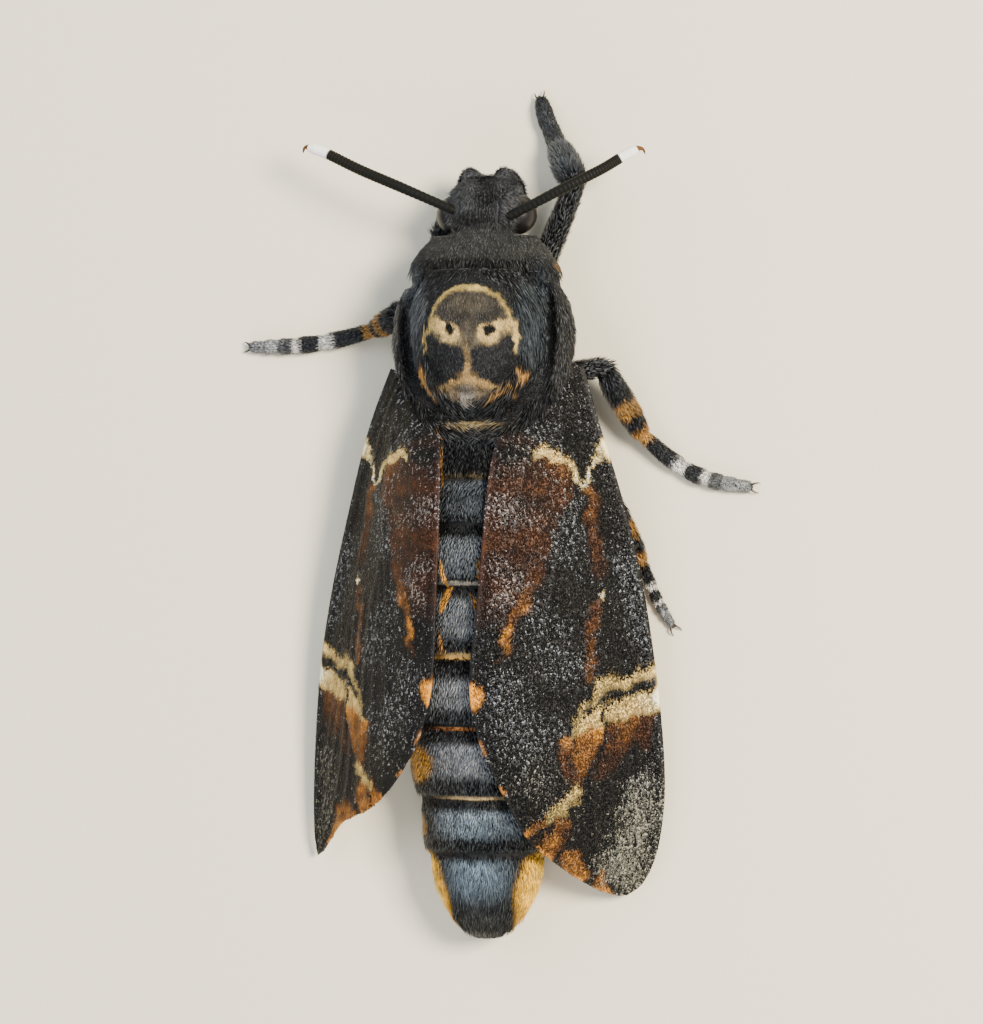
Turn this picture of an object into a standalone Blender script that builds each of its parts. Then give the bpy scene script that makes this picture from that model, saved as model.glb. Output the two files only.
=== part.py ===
"""Death's-head hawk moth at rest, life size, with its wings folded back like a roof.

Blender 4.5: blender --background --python part.py
Metres, +Z up. The head points along +Y, the moth's right side is +X, and it rests on Z = 0.
The body is one smooth profile parted by thin cuts. Every solid includes the depth of its fur.
"""

import math

import bmesh
import bpy
from mathutils import Matrix, Vector

MM = 0.001
SIDES = {"left": -1, "right": 1}

# What parts two neighbouring solids.
GAP = 0.12 * MM

# The body from the front of the collar to the tail: (y, half width, top, underside), in mm.
BODY_PROFILE = (
    (24.1, 4.3, 8.8, 3.5),
    (23.3, 5.3, 10.0, 2.9),
    (22.0, 6.4, 11.4, 2.3),
    (20.4, 6.75, 12.4, 1.9),
    (17.0, 6.75, 13.4, 1.7),
    (13.5, 6.65, 13.3, 1.8),
    (10.0, 6.45, 12.6, 2.0),
    (7.2, 6.2, 12.1, 1.9),
    (3.5, 6.3, 12.1, 1.6),
    (-4.0, 6.6, 11.9, 1.1),
    (-12.0, 6.7, 11.3, 0.5),
    (-20.0, 6.9, 10.3, 0.1),
    (-24.5, 6.0, 9.4, -0.12),
    (-28.5, 5.5, 8.5, -0.12),
    (-32.2, 4.3, 7.2, 0.1),
    (-34.4, 2.95, 6.1, 0.9),
    (-36.0, 1.05, 4.3, 2.3),
)
# The greatest width lies this share of the way up from the underside.
WIDEST_AT = 0.45
BODY_SIDES = 26
# The abdomen swings this far to the left at its tail.
TAIL_SWING = 0.45 * MM

COLLAR_FRONT = 23.9 * MM
COLLAR_BACK = 20.5 * MM
THORAX_BACK = 7.3 * MM
# Back edges of the abdomen's rings, from the thorax to the tail.
RING_EDGES = tuple(y * MM for y in (3.6, -0.6, -5.7, -11.6, -17.4, -23.5, -28.2))
TAIL_END = -36.0 * MM
# How far a ring's front edge is drawn in below the back edge of the ring before it.
RING_STEP = 0.045

# The head along its length: (y, half width, top, underside), in mm.
HEAD_PROFILE = (
    (24.05, 3.2, 8.5, 3.6),
    (25.1, 3.7, 9.0, 3.1),
    (26.4, 3.6, 8.8, 2.9),
    (27.6, 3.0, 8.1, 3.3),
    (28.6, 1.7, 6.9, 4.2),
)
EYE_RADIUS = 1.75 * MM
EYE_CENTRE = Vector((2.68, 25.3, 5.5)) * MM
PALP_PATH = ((1.6, 25.8, 2.7), (1.8, 27.1, 3.4), (1.55, 28.25, 4.6), (1.3, 28.65, 5.8))
PALP_RADII = (0.9, 1.4, 1.2, 0.8)
TONGUE_CENTRE = Vector((0, 26.6, 2.3)) * MM
TONGUE_RADIUS = 1.05 * MM
TONGUE_WIDTH = 0.8 * MM

# Feelers: a path from socket to tip, in mm, then a thin hook.
FEELER_PATHS = {
    "left": ((2.2, 25.5, 7.9), (6.9, 27.55, 7.8), (10.55, 29.1, 7.2), (13.8, 30.65, 6.4), (15.3, 31.15, 6.1)),
    "right": ((2.4, 24.9, 7.9), (6.9, 27.05, 8.3), (10.2, 28.7, 7.8), (12.0, 29.8, 7.35), (13.2, 30.45, 7.1)),
}
FEELER_RADIUS = 0.46 * MM
FEELER_HOOK = (0.62, -0.5, -0.3)
HOOK_RADIUS = 0.25 * MM

TEGULA_PATH = ((5.5, 20.0, 8.8), (6.3, 17.9, 7.9), (6.55, 15.2, 7.5), (6.4, 12.4, 7.7), (5.9, 9.9, 8.6))
TEGULA_RADII = (0.7, 1.35, 1.55, 1.45, 0.8)

# Wings: outlines in plan, in mm out from the middle and along Y, from root to tip. The front
# edge and the back edge, which turns at the corner (tornus), meet in the tip.
FORE_FRONT = {
    "left": ((8.2, 12.4), (10.2, 7.2), (11.9, 1.3), (13.9, -6.4), (15.2, -13.4), (15.9, -21.0), (16.1, -26.5), (15.9, -29.2)),
    "right": ((8.35, 12.8), (9.7, 7.8), (11.3, 2.4), (12.9, -4.5), (13.9, -11.5), (14.5, -18.0), (14.6, -23.5), (13.7, -28.6), (11.3, -32.0)),
}
FORE_BACK = {
    "left": ((5.0, 11.4), (3.1, 8.2), (2.45, 4.6), (2.5, -1.0), (2.85, -7.0), (3.3, -13.8)),
    "right": ((5.0, 11.6), (2.9, 8.8), (1.9, 5.2), (1.4, -1.0), (0.9, -8.0), (0.2, -14.2)),
}
FORE_OUTER = {
    "left": ((3.3, -13.8), (4.7, -18.6), (6.4, -21.3), (8.1, -23.3), (10.2, -24.9), (12.9, -26.1), (15.4, -28.9)),
    "right": ((0.2, -14.2), (0.9, -19.2), (2.2, -22.9), (4.0, -26.9), (5.8, -28.8), (8.0, -30.7), (10.5, -32.1)),
}
# How round the roof is: the power by which a wing falls away from the ridge.
ROOF_POWER = {"left": 2.0, "right": 1.6}
HIND_FRONT = ((7.6, 9.5), (10.0, 1.5), (11.9, -6.0), (12.9, -13.0), (12.9, -19.5))
HIND_BACK = ((6.9, 7.4), (7.2, 1.0), (7.4, -5.0), (7.7, -11.5), (9.2, -17.6), (12.3, -20.3))
HIND_DROP = 1.15 * MM
WING_THICKNESS = 0.5 * MM
# Heights of the costa's underside above the floor, along Y, in mm.
COSTA_HEIGHT = ((13.0, 5.7), (6.6, 4.5), (-2.0, 3.1), (-11.0, 2.0), (-20.0, 1.3), (-34.0, 0.8))
# The ridge line lies this far above the body, and dips into the thorax at the wing's root.
RIDGE_ABOVE_BODY = 0.45 * MM
ROOT_DIP = 3.6 * MM
DIP_ALONG = (5.8 * MM, 12.5 * MM)
WING_CLEARANCE = 0.35 * MM
WING_STEPS = (17, 7)

# Legs: hip, knee, ankle and toe, in mm, with x outwards, and each length's widths.
LEGS = {
    "front_left": ((3.0, 17.5, 3.0), (4.7, 23.4, 3.1), (3.3, 26.2, 1.5), (1.2, 28.4, 0.46)),
    "front_right": ((3.4, 18.8, 3.2), (7.25, 27.8, 3.9), (5.3, 31.2, 1.5), (3.6, 35.3, 0.44)),
    "middle_left": ((3.8, 13.0, 2.9), (7.6, 17.2, 3.9), (10.6, 15.9, 1.7), (22.0, 14.5, 0.55)),
    "middle_right": ((3.8, 11.5, 2.9), (9.6, 12.5, 4.0), (12.5, 6.9, 1.7), (21.6, 2.4, 0.55)),
    "hind_left": ((3.6, 8.0, 2.6), (9.2, 3.0, 3.2), (10.6, -4.6, 1.3), (12.4, -11.0, 0.5)),
    "hind_right": ((3.6, 7.5, 2.6), (9.6, 2.6, 3.2), (12.4, -3.6, 1.3), (14.9, -9.3, 0.5)),
}
# Half thickness of thigh, shin and foot at their middles, in mm.
LEG_HALF_WIDTHS = {
    "front_left": (1.0, 1.15, 0.55),
    "front_right": (1.1, 1.45, 0.92),
    "middle_left": (1.0, 1.15, 0.9),
    "middle_right": (1.0, 1.2, 0.9),
    "hind_left": (0.95, 0.9, 0.6),
    "hind_right": (0.95, 0.9, 0.6),
}
# How thick a foot is at ankle and toe, as shares of its middle.
FOOT_TAPERS = {"front": (1.2, 0.65), "middle": (0.85, 0.6), "hind": (0.8, 0.6)}
# How a foot bends in plan between ankle and toe, as a share of its length to the left of it.
FOOT_BENDS = {
    "front_left": 0.1,
    "front_right": 0.04,
    "middle_left": 0.04,
    "middle_right": -0.11,
    "hind_left": -0.06,
    "hind_right": -0.05,
}
# How thick a leg is at the knee, as a share of its middle.
JOINT_SHARE = 0.7
# From this share of its length a foot lies flat, its middle this share of its radius up.
FOOT_LIES_FROM = 0.35
SOLE_HEIGHT = 0.84
CLAW_REACH = 0.6 * MM
CLAW_SPREAD = 0.5 * MM
CLAW_RADIUS = 0.25 * MM

COLOURS = {
    "black_fur": (0.012, 0.012, 0.014, 0.75, 0.0),
    "grey_fur": (0.06, 0.07, 0.09, 0.7, 0.0),
    "wing_scales": (0.035, 0.022, 0.015, 0.65, 0.0),
    "hindwing_scales": (0.45, 0.24, 0.04, 0.65, 0.0),
    "leg_scales": (0.05, 0.05, 0.055, 0.7, 0.0),
    "feeler": (0.02, 0.014, 0.01, 0.45, 0.0),
    "eye": (0.035, 0.022, 0.02, 0.15, 0.0),
    "claw": (0.03, 0.014, 0.008, 0.3, 0.0),
}


def clear_scene():
    for obj in list(bpy.data.objects):
        bpy.data.objects.remove(obj)


def new_collection(name):
    collection = bpy.data.collections.new(name)
    bpy.context.scene.collection.children.link(collection)
    return collection


def make_materials():
    for name, (red, green, blue, roughness, metallic) in COLOURS.items():
        material = bpy.data.materials.new(name)
        material.use_nodes = True
        shader = material.node_tree.nodes["Principled BSDF"]
        shader.inputs["Base Color"].default_value = (red, green, blue, 1)
        shader.inputs["Roughness"].default_value = roughness
        shader.inputs["Metallic"].default_value = metallic


# ---- curves and profiles ----


def along(knots, x):
    """The smooth value at x of a table of (x, value, ...) rows, x falling or rising, ends held."""
    rows = sorted(knots)
    x = min(max(x, rows[0][0]), rows[-1][0])
    i = next(i for i in range(len(rows) - 1) if x <= rows[i + 1][0])
    width = rows[i + 1][0] - rows[i][0]
    t = (x - rows[i][0]) / width

    def slope(k, column):
        low, high = max(k - 1, 0), min(k + 1, len(rows) - 1)
        return (rows[high][column] - rows[low][column]) / (rows[high][0] - rows[low][0])

    values = []
    for column in range(1, len(rows[0])):
        start, end = rows[i][column], rows[i + 1][column]
        lift, fall = slope(i, column) * width, slope(i + 1, column) * width
        values.append(
            start * (2 * t**3 - 3 * t**2 + 1)
            + lift * (t**3 - 2 * t**2 + t)
            + end * (3 * t**2 - 2 * t**3)
            + fall * (t**3 - t**2)
        )
    return values


def curve_point(points, t):
    """The point at share t of a smooth line through the points."""
    knots = [(float(i), *point) for i, point in enumerate(points)]
    return Vector(along(knots, t * (len(points) - 1)))


def body_section(y):
    """(half width, top, underside) of the body at y, in metres."""
    return [value * MM for value in along(BODY_PROFILE, y / MM)]


def body_middle(y):
    """How far the body's middle lies to the right at y: the abdomen swings left."""
    return -TAIL_SWING * (min(0.0, y - THORAX_BACK) / (TAIL_END - THORAX_BACK)) ** 2


def ring_points(y, half_width, top, underside, sides=BODY_SIDES, scale=1.0):
    """An upright egg-shaped ring across the body."""
    middle = underside + WIDEST_AT * (top - underside)
    points = []
    for k in range(sides):
        angle = 2 * math.pi * k / sides
        height = (top - middle) if math.sin(angle) > 0 else (middle - underside)
        points.append(
            Vector((
                body_middle(y) + scale * half_width * math.cos(angle),
                y,
                middle + scale * height * math.sin(angle),
            ))
        )
    return points


def body_top(x, y):
    """Height of the body's upper surface over a place in plan, or of its widest line beyond it."""
    half_width, top, underside = body_section(max(min(y, COLLAR_FRONT), TAIL_END))
    middle = underside + WIDEST_AT * (top - underside)
    inside = max(0.0, 1 - ((x - body_middle(y)) / half_width) ** 2)
    return middle + (top - middle) * math.sqrt(inside)


# ---- making solids ----


def add_object(name, mesh, collection, material):
    obj = bpy.data.objects.new(name, mesh)
    collection.objects.link(obj)
    mesh.materials.clear()
    mesh.materials.append(bpy.data.materials[material])
    mesh.shade_smooth()
    return obj


def loft(name, rings, collection, material):
    """A closed solid through rings of equal count, its two ends filled."""
    shape = bmesh.new()
    loops = []
    for ring in rings:
        corners = [shape.verts.new(point) for point in ring]
        loops.append([
            shape.edges.new((corners[i], corners[(i + 1) % len(corners)]))
            for i in range(len(corners))
        ])
    for first, second in zip(loops, loops[1:]):
        bmesh.ops.bridge_loops(shape, edges=first + second)
    for end in (loops[0], loops[-1]):
        bmesh.ops.edgenet_fill(shape, edges=end)
    bmesh.ops.recalc_face_normals(shape, faces=shape.faces)
    mesh = bpy.data.meshes.new(name)
    shape.to_mesh(mesh)
    shape.free()
    return add_object(name, mesh, collection, material)


def applied(obj):
    """Puts the modifiers into the mesh, and makes a curve a mesh with its caps welded."""
    graph = bpy.context.evaluated_depsgraph_get()
    mesh = bpy.data.meshes.new_from_object(obj.evaluated_get(graph))
    shape = bmesh.new()
    shape.from_mesh(mesh)
    bmesh.ops.remove_doubles(shape, verts=shape.verts, dist=0.001 * MM)
    bmesh.ops.recalc_face_normals(shape, faces=shape.faces)
    shape.to_mesh(mesh)
    shape.free()
    name = obj.name
    collection = obj.users_collection[0]
    made = bpy.data.objects.new(name, mesh)
    made.matrix_world = obj.matrix_world
    collection.objects.link(made)
    bpy.data.objects.remove(obj)
    made.name = name
    mesh.shade_smooth()
    return made


def tube(name, points, radii, collection, material, resolution=2):
    """A round bar through the points, with a radius at each."""
    line = bpy.data.curves.new(name, "CURVE")
    line.dimensions = "3D"
    line.bevel_depth = 1.0
    line.bevel_resolution = resolution
    line.use_fill_caps = True
    spline = line.splines.new("POLY")
    spline.points.add(len(points) - 1)
    for knot, point, radius in zip(spline.points, points, radii):
        knot.co = (*point, 1)
        knot.radius = radius
    obj = bpy.data.objects.new(name, line)
    collection.objects.link(obj)
    line.materials.append(bpy.data.materials[material])
    return applied(obj)


def grown(obj, cutters, by=GAP):
    """A copy of a solid with its skin moved out, to carve its neighbours with."""
    mesh = obj.data.copy()
    mesh.transform(obj.matrix_world)
    shape = bmesh.new()
    shape.from_mesh(mesh)
    shape.normal_update()
    moves = [vert.normal * by * vert.calc_shell_factor() for vert in shape.verts]
    for vert, move in zip(shape.verts, moves):
        vert.co += move
    shape.to_mesh(mesh)
    shape.free()
    copy = bpy.data.objects.new(obj.name + "_cutter", mesh)
    copy.hide_render = True
    copy.display_type = "WIRE"
    cutters.objects.link(copy)
    return copy


def largest_body(obj):
    """Drops the scraps that a cut leaves, so that the solid is one body."""
    shape = bmesh.new()
    shape.from_mesh(obj.data)
    left = set(shape.verts)
    bodies = []
    while left:
        body, edge = set(), [left.pop()]
        while edge:
            vert = edge.pop()
            body.add(vert)
            near = {e.other_vert(vert) for e in vert.link_edges} & left
            left -= near
            edge.extend(near)
        bodies.append(body)
    keep = max(bodies, key=len)
    scraps = [vert for vert in shape.verts if vert not in keep]
    bmesh.ops.delete(shape, geom=scraps, context="VERTS")
    shape.to_mesh(obj.data)
    shape.free()


def carve(obj, grown_neighbours):
    """Cuts an object back so that it meets its neighbours with a gap."""
    for neighbour in grown_neighbours:
        cut = obj.modifiers.new("meet_" + neighbour.name, "BOOLEAN")
        cut.operation = "DIFFERENCE"
        cut.solver = "EXACT"
        cut.object = neighbour
    made = applied(obj)
    largest_body(made)
    return made


def stand_on_floor(obj):
    """Cuts off what lies under the floor, leaving a small flat."""
    shape = bmesh.new()
    shape.from_mesh(obj.data)
    cut = bmesh.ops.bisect_plane(
        shape,
        geom=shape.verts[:] + shape.edges[:] + shape.faces[:],
        plane_co=(0, 0, 0),
        plane_no=(0, 0, 1),
        clear_inner=True,
    )
    rim = [item for item in cut["geom_cut"] if isinstance(item, bmesh.types.BMEdge)]
    if rim:
        bmesh.ops.edgenet_fill(shape, edges=rim)
        bmesh.ops.recalc_face_normals(shape, faces=shape.faces)
    shape.to_mesh(obj.data)
    shape.free()
    return obj


# ---- trunk and abdomen ----


def body_rings(front, back, count, front_scale=1.0):
    """Rings from front to back, drawn in at the front edge by front_scale."""
    rings = []
    for i in range(count):
        share = i / (count - 1)
        y = front + (back - front) * share
        scale = front_scale + (1 - front_scale) * math.sin(share * math.pi / 2)
        rings.append(ring_points(y, *body_section(y), scale=scale))
    return rings


def make_trunk(parts):
    collar = loft("collar", body_rings(COLLAR_FRONT, COLLAR_BACK, 4), parts, "black_fur")
    thorax_front = COLLAR_BACK - GAP
    thorax = loft("thorax", body_rings(thorax_front, THORAX_BACK, 8, 0.97), parts, "black_fur")
    return {"collar": collar, "thorax": thorax}


def make_abdomen(parts):
    rings = {}
    front = THORAX_BACK - GAP
    for number, back in enumerate(RING_EDGES, 1):
        name = f"abdomen_ring_{number}"
        sections = body_rings(front, back, 4, 1 - RING_STEP)
        rings[name] = stand_on_floor(loft(name, sections, parts, "grey_fur"))
        front = back - GAP
    sections = body_rings(front, TAIL_END, 7, 1 - RING_STEP)
    rings["abdomen_tail"] = stand_on_floor(loft("abdomen_tail", sections, parts, "grey_fur"))
    return rings


def make_tegulae(parts, cutters, trunk):
    made = {}
    for side, sign in SIDES.items():
        path = [Vector((sign * x, y, z)) * MM for x, y, z in TEGULA_PATH]
        points = [curve_point(path, i / 8) for i in range(9)]
        radii = [curve_point([(r * MM,) * 3 for r in TEGULA_RADII], i / 8)[0] for i in range(9)]
        lobe = tube(f"tegula_{side}", points, radii, parts, "black_fur", resolution=3)
        made[side] = grown(lobe, cutters)
        carve(lobe, [trunk["thorax"], trunk["collar"]])
    return made


# ---- head ----


def place_primitive(name, placing, parts, material):
    """Names the primitive just added, sets it in place and gives it its material."""
    obj = bpy.context.object
    obj.name = name
    obj.data.transform(placing)
    for collection in list(obj.users_collection):
        collection.objects.unlink(obj)
    parts.objects.link(obj)
    obj.data.materials.append(bpy.data.materials[material])
    obj.data.shade_smooth()
    return obj


def make_eye(side, parts):
    bpy.ops.mesh.primitive_uv_sphere_add(segments=18, ring_count=11, radius=EYE_RADIUS)
    centre = EYE_CENTRE * Vector((SIDES[side], 1, 1))
    return place_primitive(f"eye_{side}", Matrix.Translation(centre), parts, "eye")


def make_palp(side, parts):
    path = [Vector((SIDES[side] * x, y, z)) * MM for x, y, z in PALP_PATH]
    points = [curve_point(path, i / 7) for i in range(8)]
    radii = [curve_point([(r * MM,) * 3 for r in PALP_RADII], i / 7)[0] for i in range(8)]
    return tube(f"palp_{side}", points, radii, parts, "black_fur", resolution=2)


def make_head(parts, cutters, trunk):
    sections = []
    steps = 7
    for i in range(steps):
        start, end = HEAD_PROFILE[0][0], HEAD_PROFILE[-1][0]
        y = start + (end - start) * i / (steps - 1)
        size = [value * MM for value in along(HEAD_PROFILE, y)]
        sections.append(ring_points(y * MM, *size, sides=20))
    head = loft("head", sections, parts, "black_fur")
    eyes = [make_eye(side, parts) for side in SIDES]
    palps = [make_palp(side, parts) for side in SIDES]

    bpy.ops.mesh.primitive_cylinder_add(
        vertices=20, radius=TONGUE_RADIUS, depth=TONGUE_WIDTH, end_fill_type="NGON"
    )
    lying = Matrix.Translation(TONGUE_CENTRE) @ Matrix.Rotation(math.pi / 2, 4, "Y")
    tongue = place_primitive("proboscis", lying, parts, "claw")

    around_head = grown(head, cutters)
    around_eyes = [grown(eye, cutters) for eye in eyes]
    around_palps = [grown(palp, cutters) for palp in palps]
    carve(head, around_eyes)
    for eye in eyes:
        carve(eye, [trunk["collar"]])
    for palp in palps:
        carve(palp, [around_head, *around_eyes])
    carve(tongue, [around_head, *around_palps])
    return around_head


def make_feelers(parts, around_head):
    hook = Vector(FEELER_HOOK) * MM
    for side, sign in SIDES.items():
        path = [Vector(point) * MM for point in FEELER_PATHS[side]]
        rod = [curve_point(path, i / 12) for i in range(13)]
        rod.append(rod[-1] + Vector((hook.x * 0.7, 0.1 * MM, hook.z * 0.5)))
        rod.append(rod[-2] + hook)
        radii = [FEELER_RADIUS * (0.85 + 0.15 * min(1, i / 3)) for i in range(13)]
        radii[-1] = FEELER_RADIUS * 0.8
        radii += [HOOK_RADIUS * 1.1, HOOK_RADIUS]
        rod = [point * Vector((sign, 1, 1)) for point in rod]
        feeler = tube(f"antenna_{side}", rod, radii, parts, "feeler", resolution=2)
        carve(feeler, [around_head])


# ---- wings ----


def roof_height(x, y, side):
    """Height of the folded wings' underside over a place in plan, clear of the body below."""
    edge = along(COSTA_HEIGHT, y / MM)[0] * MM
    reach = along([(point[1], point[0]) for point in FORE_FRONT[side]], y / MM)[0] * MM
    start, end = DIP_ALONG
    share = min(max((y - start) / (end - start), 0.0), 1.0)
    dip = ROOT_DIP * share * share * (3 - 2 * share)
    ridge = body_section(max(y, TAIL_END))[1] + RIDGE_ABOVE_BODY - dip
    out = min(abs(x - body_middle(y)) / reach, 1.1)
    roof = edge + (ridge - edge) * (1 - out ** ROOF_POWER[side])
    if abs(x - body_middle(y)) > body_section(max(y, TAIL_END))[0]:
        return roof
    rest = body_top(x, y) + WING_CLEARANCE - dip
    # A soft maximum, so that the wing drapes over the body without a crease.
    soft = 0.4 * MM
    return soft * math.log(math.exp(roof / soft) + math.exp(rest / soft))


def plan_point(front, back, s, t):
    """A place in a wing's plan: s from root to tip, t from front edge to back edge."""
    return curve_point(front, s).lerp(curve_point(back, s), t)


def make_wing(name, front, back, side, drop, parts, material):
    """A curved sheet between two edges, thickened upwards."""
    steps_along, steps_across = WING_STEPS
    sheet = bmesh.new()
    bmesh.ops.create_grid(sheet, x_segments=steps_along, y_segments=steps_across, size=1)
    for vert in sheet.verts:
        s, t = (vert.co.x + 1) / 2, (vert.co.y + 1) / 2
        # Rows crowd towards the tip, where the outline turns.
        place = plan_point(front, back, math.sin(s * math.pi / 2), t)
        x, y = place.x * MM, place.y * MM
        vert.co = (SIDES[side] * x, y, roof_height(x, y, side) - drop)
    bmesh.ops.recalc_face_normals(sheet, faces=sheet.faces)
    if sum(face.normal.z for face in sheet.faces) < 0:
        bmesh.ops.reverse_faces(sheet, faces=sheet.faces)
    mesh = bpy.data.meshes.new(name)
    sheet.to_mesh(mesh)
    sheet.free()
    wing = add_object(name, mesh, parts, material)
    shell = wing.modifiers.new("thickness", "SOLIDIFY")
    shell.thickness = WING_THICKNESS
    shell.offset = 1
    shell.use_even_offset = True
    return applied(wing)


def make_wings(parts, trunk, tegulae):
    for side in SIDES:
        back = FORE_BACK[side] + FORE_OUTER[side][1:]
        fore = make_wing(f"forewing_{side}", FORE_FRONT[side], back, side, 0, parts, "wing_scales")
        hind = make_wing(
            f"hindwing_{side}", HIND_FRONT, HIND_BACK, side, HIND_DROP, parts, "hindwing_scales"
        )
        carve(fore, [trunk["thorax"], tegulae[side]])
        carve(hind, [trunk["thorax"]])


# ---- legs ----


def thickness_along(share, half_width, ends):
    """Half thickness of a leg's length, swelling between its two joints."""
    joint = ends[0] + (ends[1] - ends[0]) * share
    return half_width * (joint + (1 - joint) * math.sin(math.pi * share) ** 0.6)


def leg_length(name, start, end, half_width, ends, parts, steps=6):
    points = [start.lerp(end, i / steps) for i in range(steps + 1)]
    radii = [thickness_along(i / steps, half_width, ends) for i in range(steps + 1)]
    return tube(name, points, radii, parts, "leg_scales", resolution=1)


def foot_length(name, ankle, toe, bend, half_width, taper, parts, steps=10):
    """The foot comes down from the ankle, then lies along the floor on a narrow flat."""
    run = toe - ankle
    sideways = Vector((-run.y, run.x, 0)) * bend
    points = []
    radii = []
    for i in range(steps + 1):
        share = i / steps
        radius = thickness_along(share, half_width, taper)
        place = ankle + run * share + sideways * math.sin(math.pi * share)
        lying = SOLE_HEIGHT * radius
        place.z = ankle.z + (lying - ankle.z) * min(1, share / FOOT_LIES_FROM)
        points.append(place)
        radii.append(radius)
    tarsus = tube(name, points, radii, parts, "leg_scales", resolution=1)
    stand_on_floor(tarsus)
    return tarsus, points


def make_leg(name, parts, cutters, trunk):
    sign = SIDES[name.split("_")[1]]
    hip, knee, ankle, toe = (Vector((sign * x, y, z)) * MM for x, y, z in LEGS[name])
    thigh, shin, foot = (width * MM for width in LEG_HALF_WIDTHS[name])

    femur = leg_length(f"leg_{name}_femur", hip, knee, thigh, (0.8, JOINT_SHARE), parts)
    around_femur = grown(femur, cutters)
    carve(femur, trunk.values())

    tibia = leg_length(f"leg_{name}_tibia", knee, ankle, shin, (JOINT_SHARE, 0.6), parts)
    around_tibia = grown(tibia, cutters)
    carve(tibia, [around_femur])

    bend = FOOT_BENDS[name]
    taper = FOOT_TAPERS[name.split("_")[0]]
    tarsus, path = foot_length(f"leg_{name}_tarsus", ankle, toe, bend, foot, taper, parts)
    around_tarsus = grown(tarsus, cutters)
    carve(tarsus, [around_tibia])

    ahead = (path[-1] - path[-2]).normalized()
    ahead.z = 0
    across = Vector((-ahead.y, ahead.x, 0))
    root = path[-1] + ahead * (GAP + CLAW_RADIUS)
    root.z = CLAW_RADIUS * 1.5
    points = []
    for turn in (-1, -0.5, 0, 0.5, 1):
        reach = CLAW_REACH * abs(turn) ** 1.5
        drop = CLAW_RADIUS * 0.6 * turn * turn
        points.append(root + ahead * reach + across * CLAW_SPREAD * turn - Vector((0, 0, drop)))
    radii = [CLAW_RADIUS * share for share in (0.6, 0.95, 1, 0.95, 0.6)]
    claws = tube(f"leg_{name}_claws", points, radii, parts, "claw", resolution=1)
    carve(claws, [around_tarsus])


def main():
    clear_scene()
    make_materials()
    parts = new_collection("hawk_moth")
    cutters = new_collection("cutters")
    trunk = {name: grown(obj, cutters) for name, obj in make_trunk(parts).items()}
    abdomen = make_abdomen(parts)
    tegulae = make_tegulae(parts, cutters, trunk)
    around_head = make_head(parts, cutters, trunk)
    make_feelers(parts, around_head)
    make_wings(parts, trunk, tegulae)
    trunk["first_ring"] = grown(abdomen["abdomen_ring_1"], cutters)
    for name in LEGS:
        make_leg(name, parts, cutters, trunk)
    cutters.hide_render = True


main()
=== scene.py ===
import math

import bpy
import numpy as np
from mathutils import Matrix, Vector
from mathutils.bvhtree import BVHTree


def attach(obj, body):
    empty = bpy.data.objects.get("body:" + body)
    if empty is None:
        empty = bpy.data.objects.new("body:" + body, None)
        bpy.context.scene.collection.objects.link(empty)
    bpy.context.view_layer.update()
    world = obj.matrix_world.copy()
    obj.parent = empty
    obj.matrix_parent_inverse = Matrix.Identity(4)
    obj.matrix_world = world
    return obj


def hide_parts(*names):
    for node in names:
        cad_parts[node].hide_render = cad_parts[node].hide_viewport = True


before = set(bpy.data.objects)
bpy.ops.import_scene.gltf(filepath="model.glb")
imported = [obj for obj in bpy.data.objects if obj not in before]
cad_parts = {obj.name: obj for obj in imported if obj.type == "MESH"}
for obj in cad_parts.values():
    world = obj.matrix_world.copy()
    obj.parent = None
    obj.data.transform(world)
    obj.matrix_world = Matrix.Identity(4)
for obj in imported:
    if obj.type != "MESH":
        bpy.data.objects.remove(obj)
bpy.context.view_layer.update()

mm = 0.001
sides = {"left": -1, "right": 1}
rng = np.random.default_rng(7)


# Small helpers.

def linear(hexColour):
    parts = [int(hexColour[i:i + 2], 16) / 255 for i in (1, 3, 5)]
    return tuple(c / 12.92 if c < 0.04045 else ((c + 0.055) / 1.055) ** 2.4 for c in parts) + (1.0,)


def plug(tree, value, socket):
    # a node stands for its first output in use, a hex string for its colour
    if isinstance(value, bpy.types.Node):
        value = next(output for output in value.outputs if output.enabled)
    if isinstance(value, bpy.types.NodeSocket):
        tree.links.new(value, socket)
    else:
        socket.default_value = linear(value) if isinstance(value, str) else value


def addNode(tree, kind, *inputs, **settings):
    # inputs go to the sockets in use, in turn; settings are options, or sockets by name
    node = tree.nodes.new("ShaderNode" + kind)
    if kind == "Mix":
        node.data_type = "RGBA"
    for name, value in settings.items():
        if hasattr(node, name):
            setattr(node, name, value)
        else:
            plug(tree, value, node.inputs[name])
    for value, socket in zip(inputs, [socket for socket in node.inputs if socket.enabled]):
        plug(tree, value, socket)
    return node


def newMaterial(name):
    material = bpy.data.materials.new(name)
    material.use_nodes = True
    tree = material.node_tree
    return material, tree, tree.nodes["Principled BSDF"]


def finishShader(tree, shader, colour, values, grain=None):
    # grain: place, scale and randomness of its cells, strength and depth (in m) of its bump
    plug(tree, colour, shader.inputs["Base Color"])
    for name, value in values.items():
        shader.inputs[name].default_value = value
    if grain:
        place, scale, chance, strength, depth = grain
        cells = addNode(tree, "TexVoronoi", place, scale, Randomness=chance)
        plug(tree, addNode(tree, "Bump", strength, depth, Height=cells), shader.inputs["Normal"])


def deselectAll():
    for obj in list(bpy.context.selected_objects):
        obj.select_set(False)


def pick(*objs):
    deselectAll()
    for obj in objs:
        obj.select_set(True)
    bpy.context.view_layer.objects.active = objs[0]


def applyModifiers(obj):
    pick(obj)
    for modifier in list(obj.modifiers):
        bpy.ops.object.modifier_apply(modifier=modifier.name)


def readPoints(mesh, field="co"):
    points = np.empty(len(mesh.vertices) * 3)
    mesh.vertices.foreach_get(field, points)
    return points.reshape(-1, 3)


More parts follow.
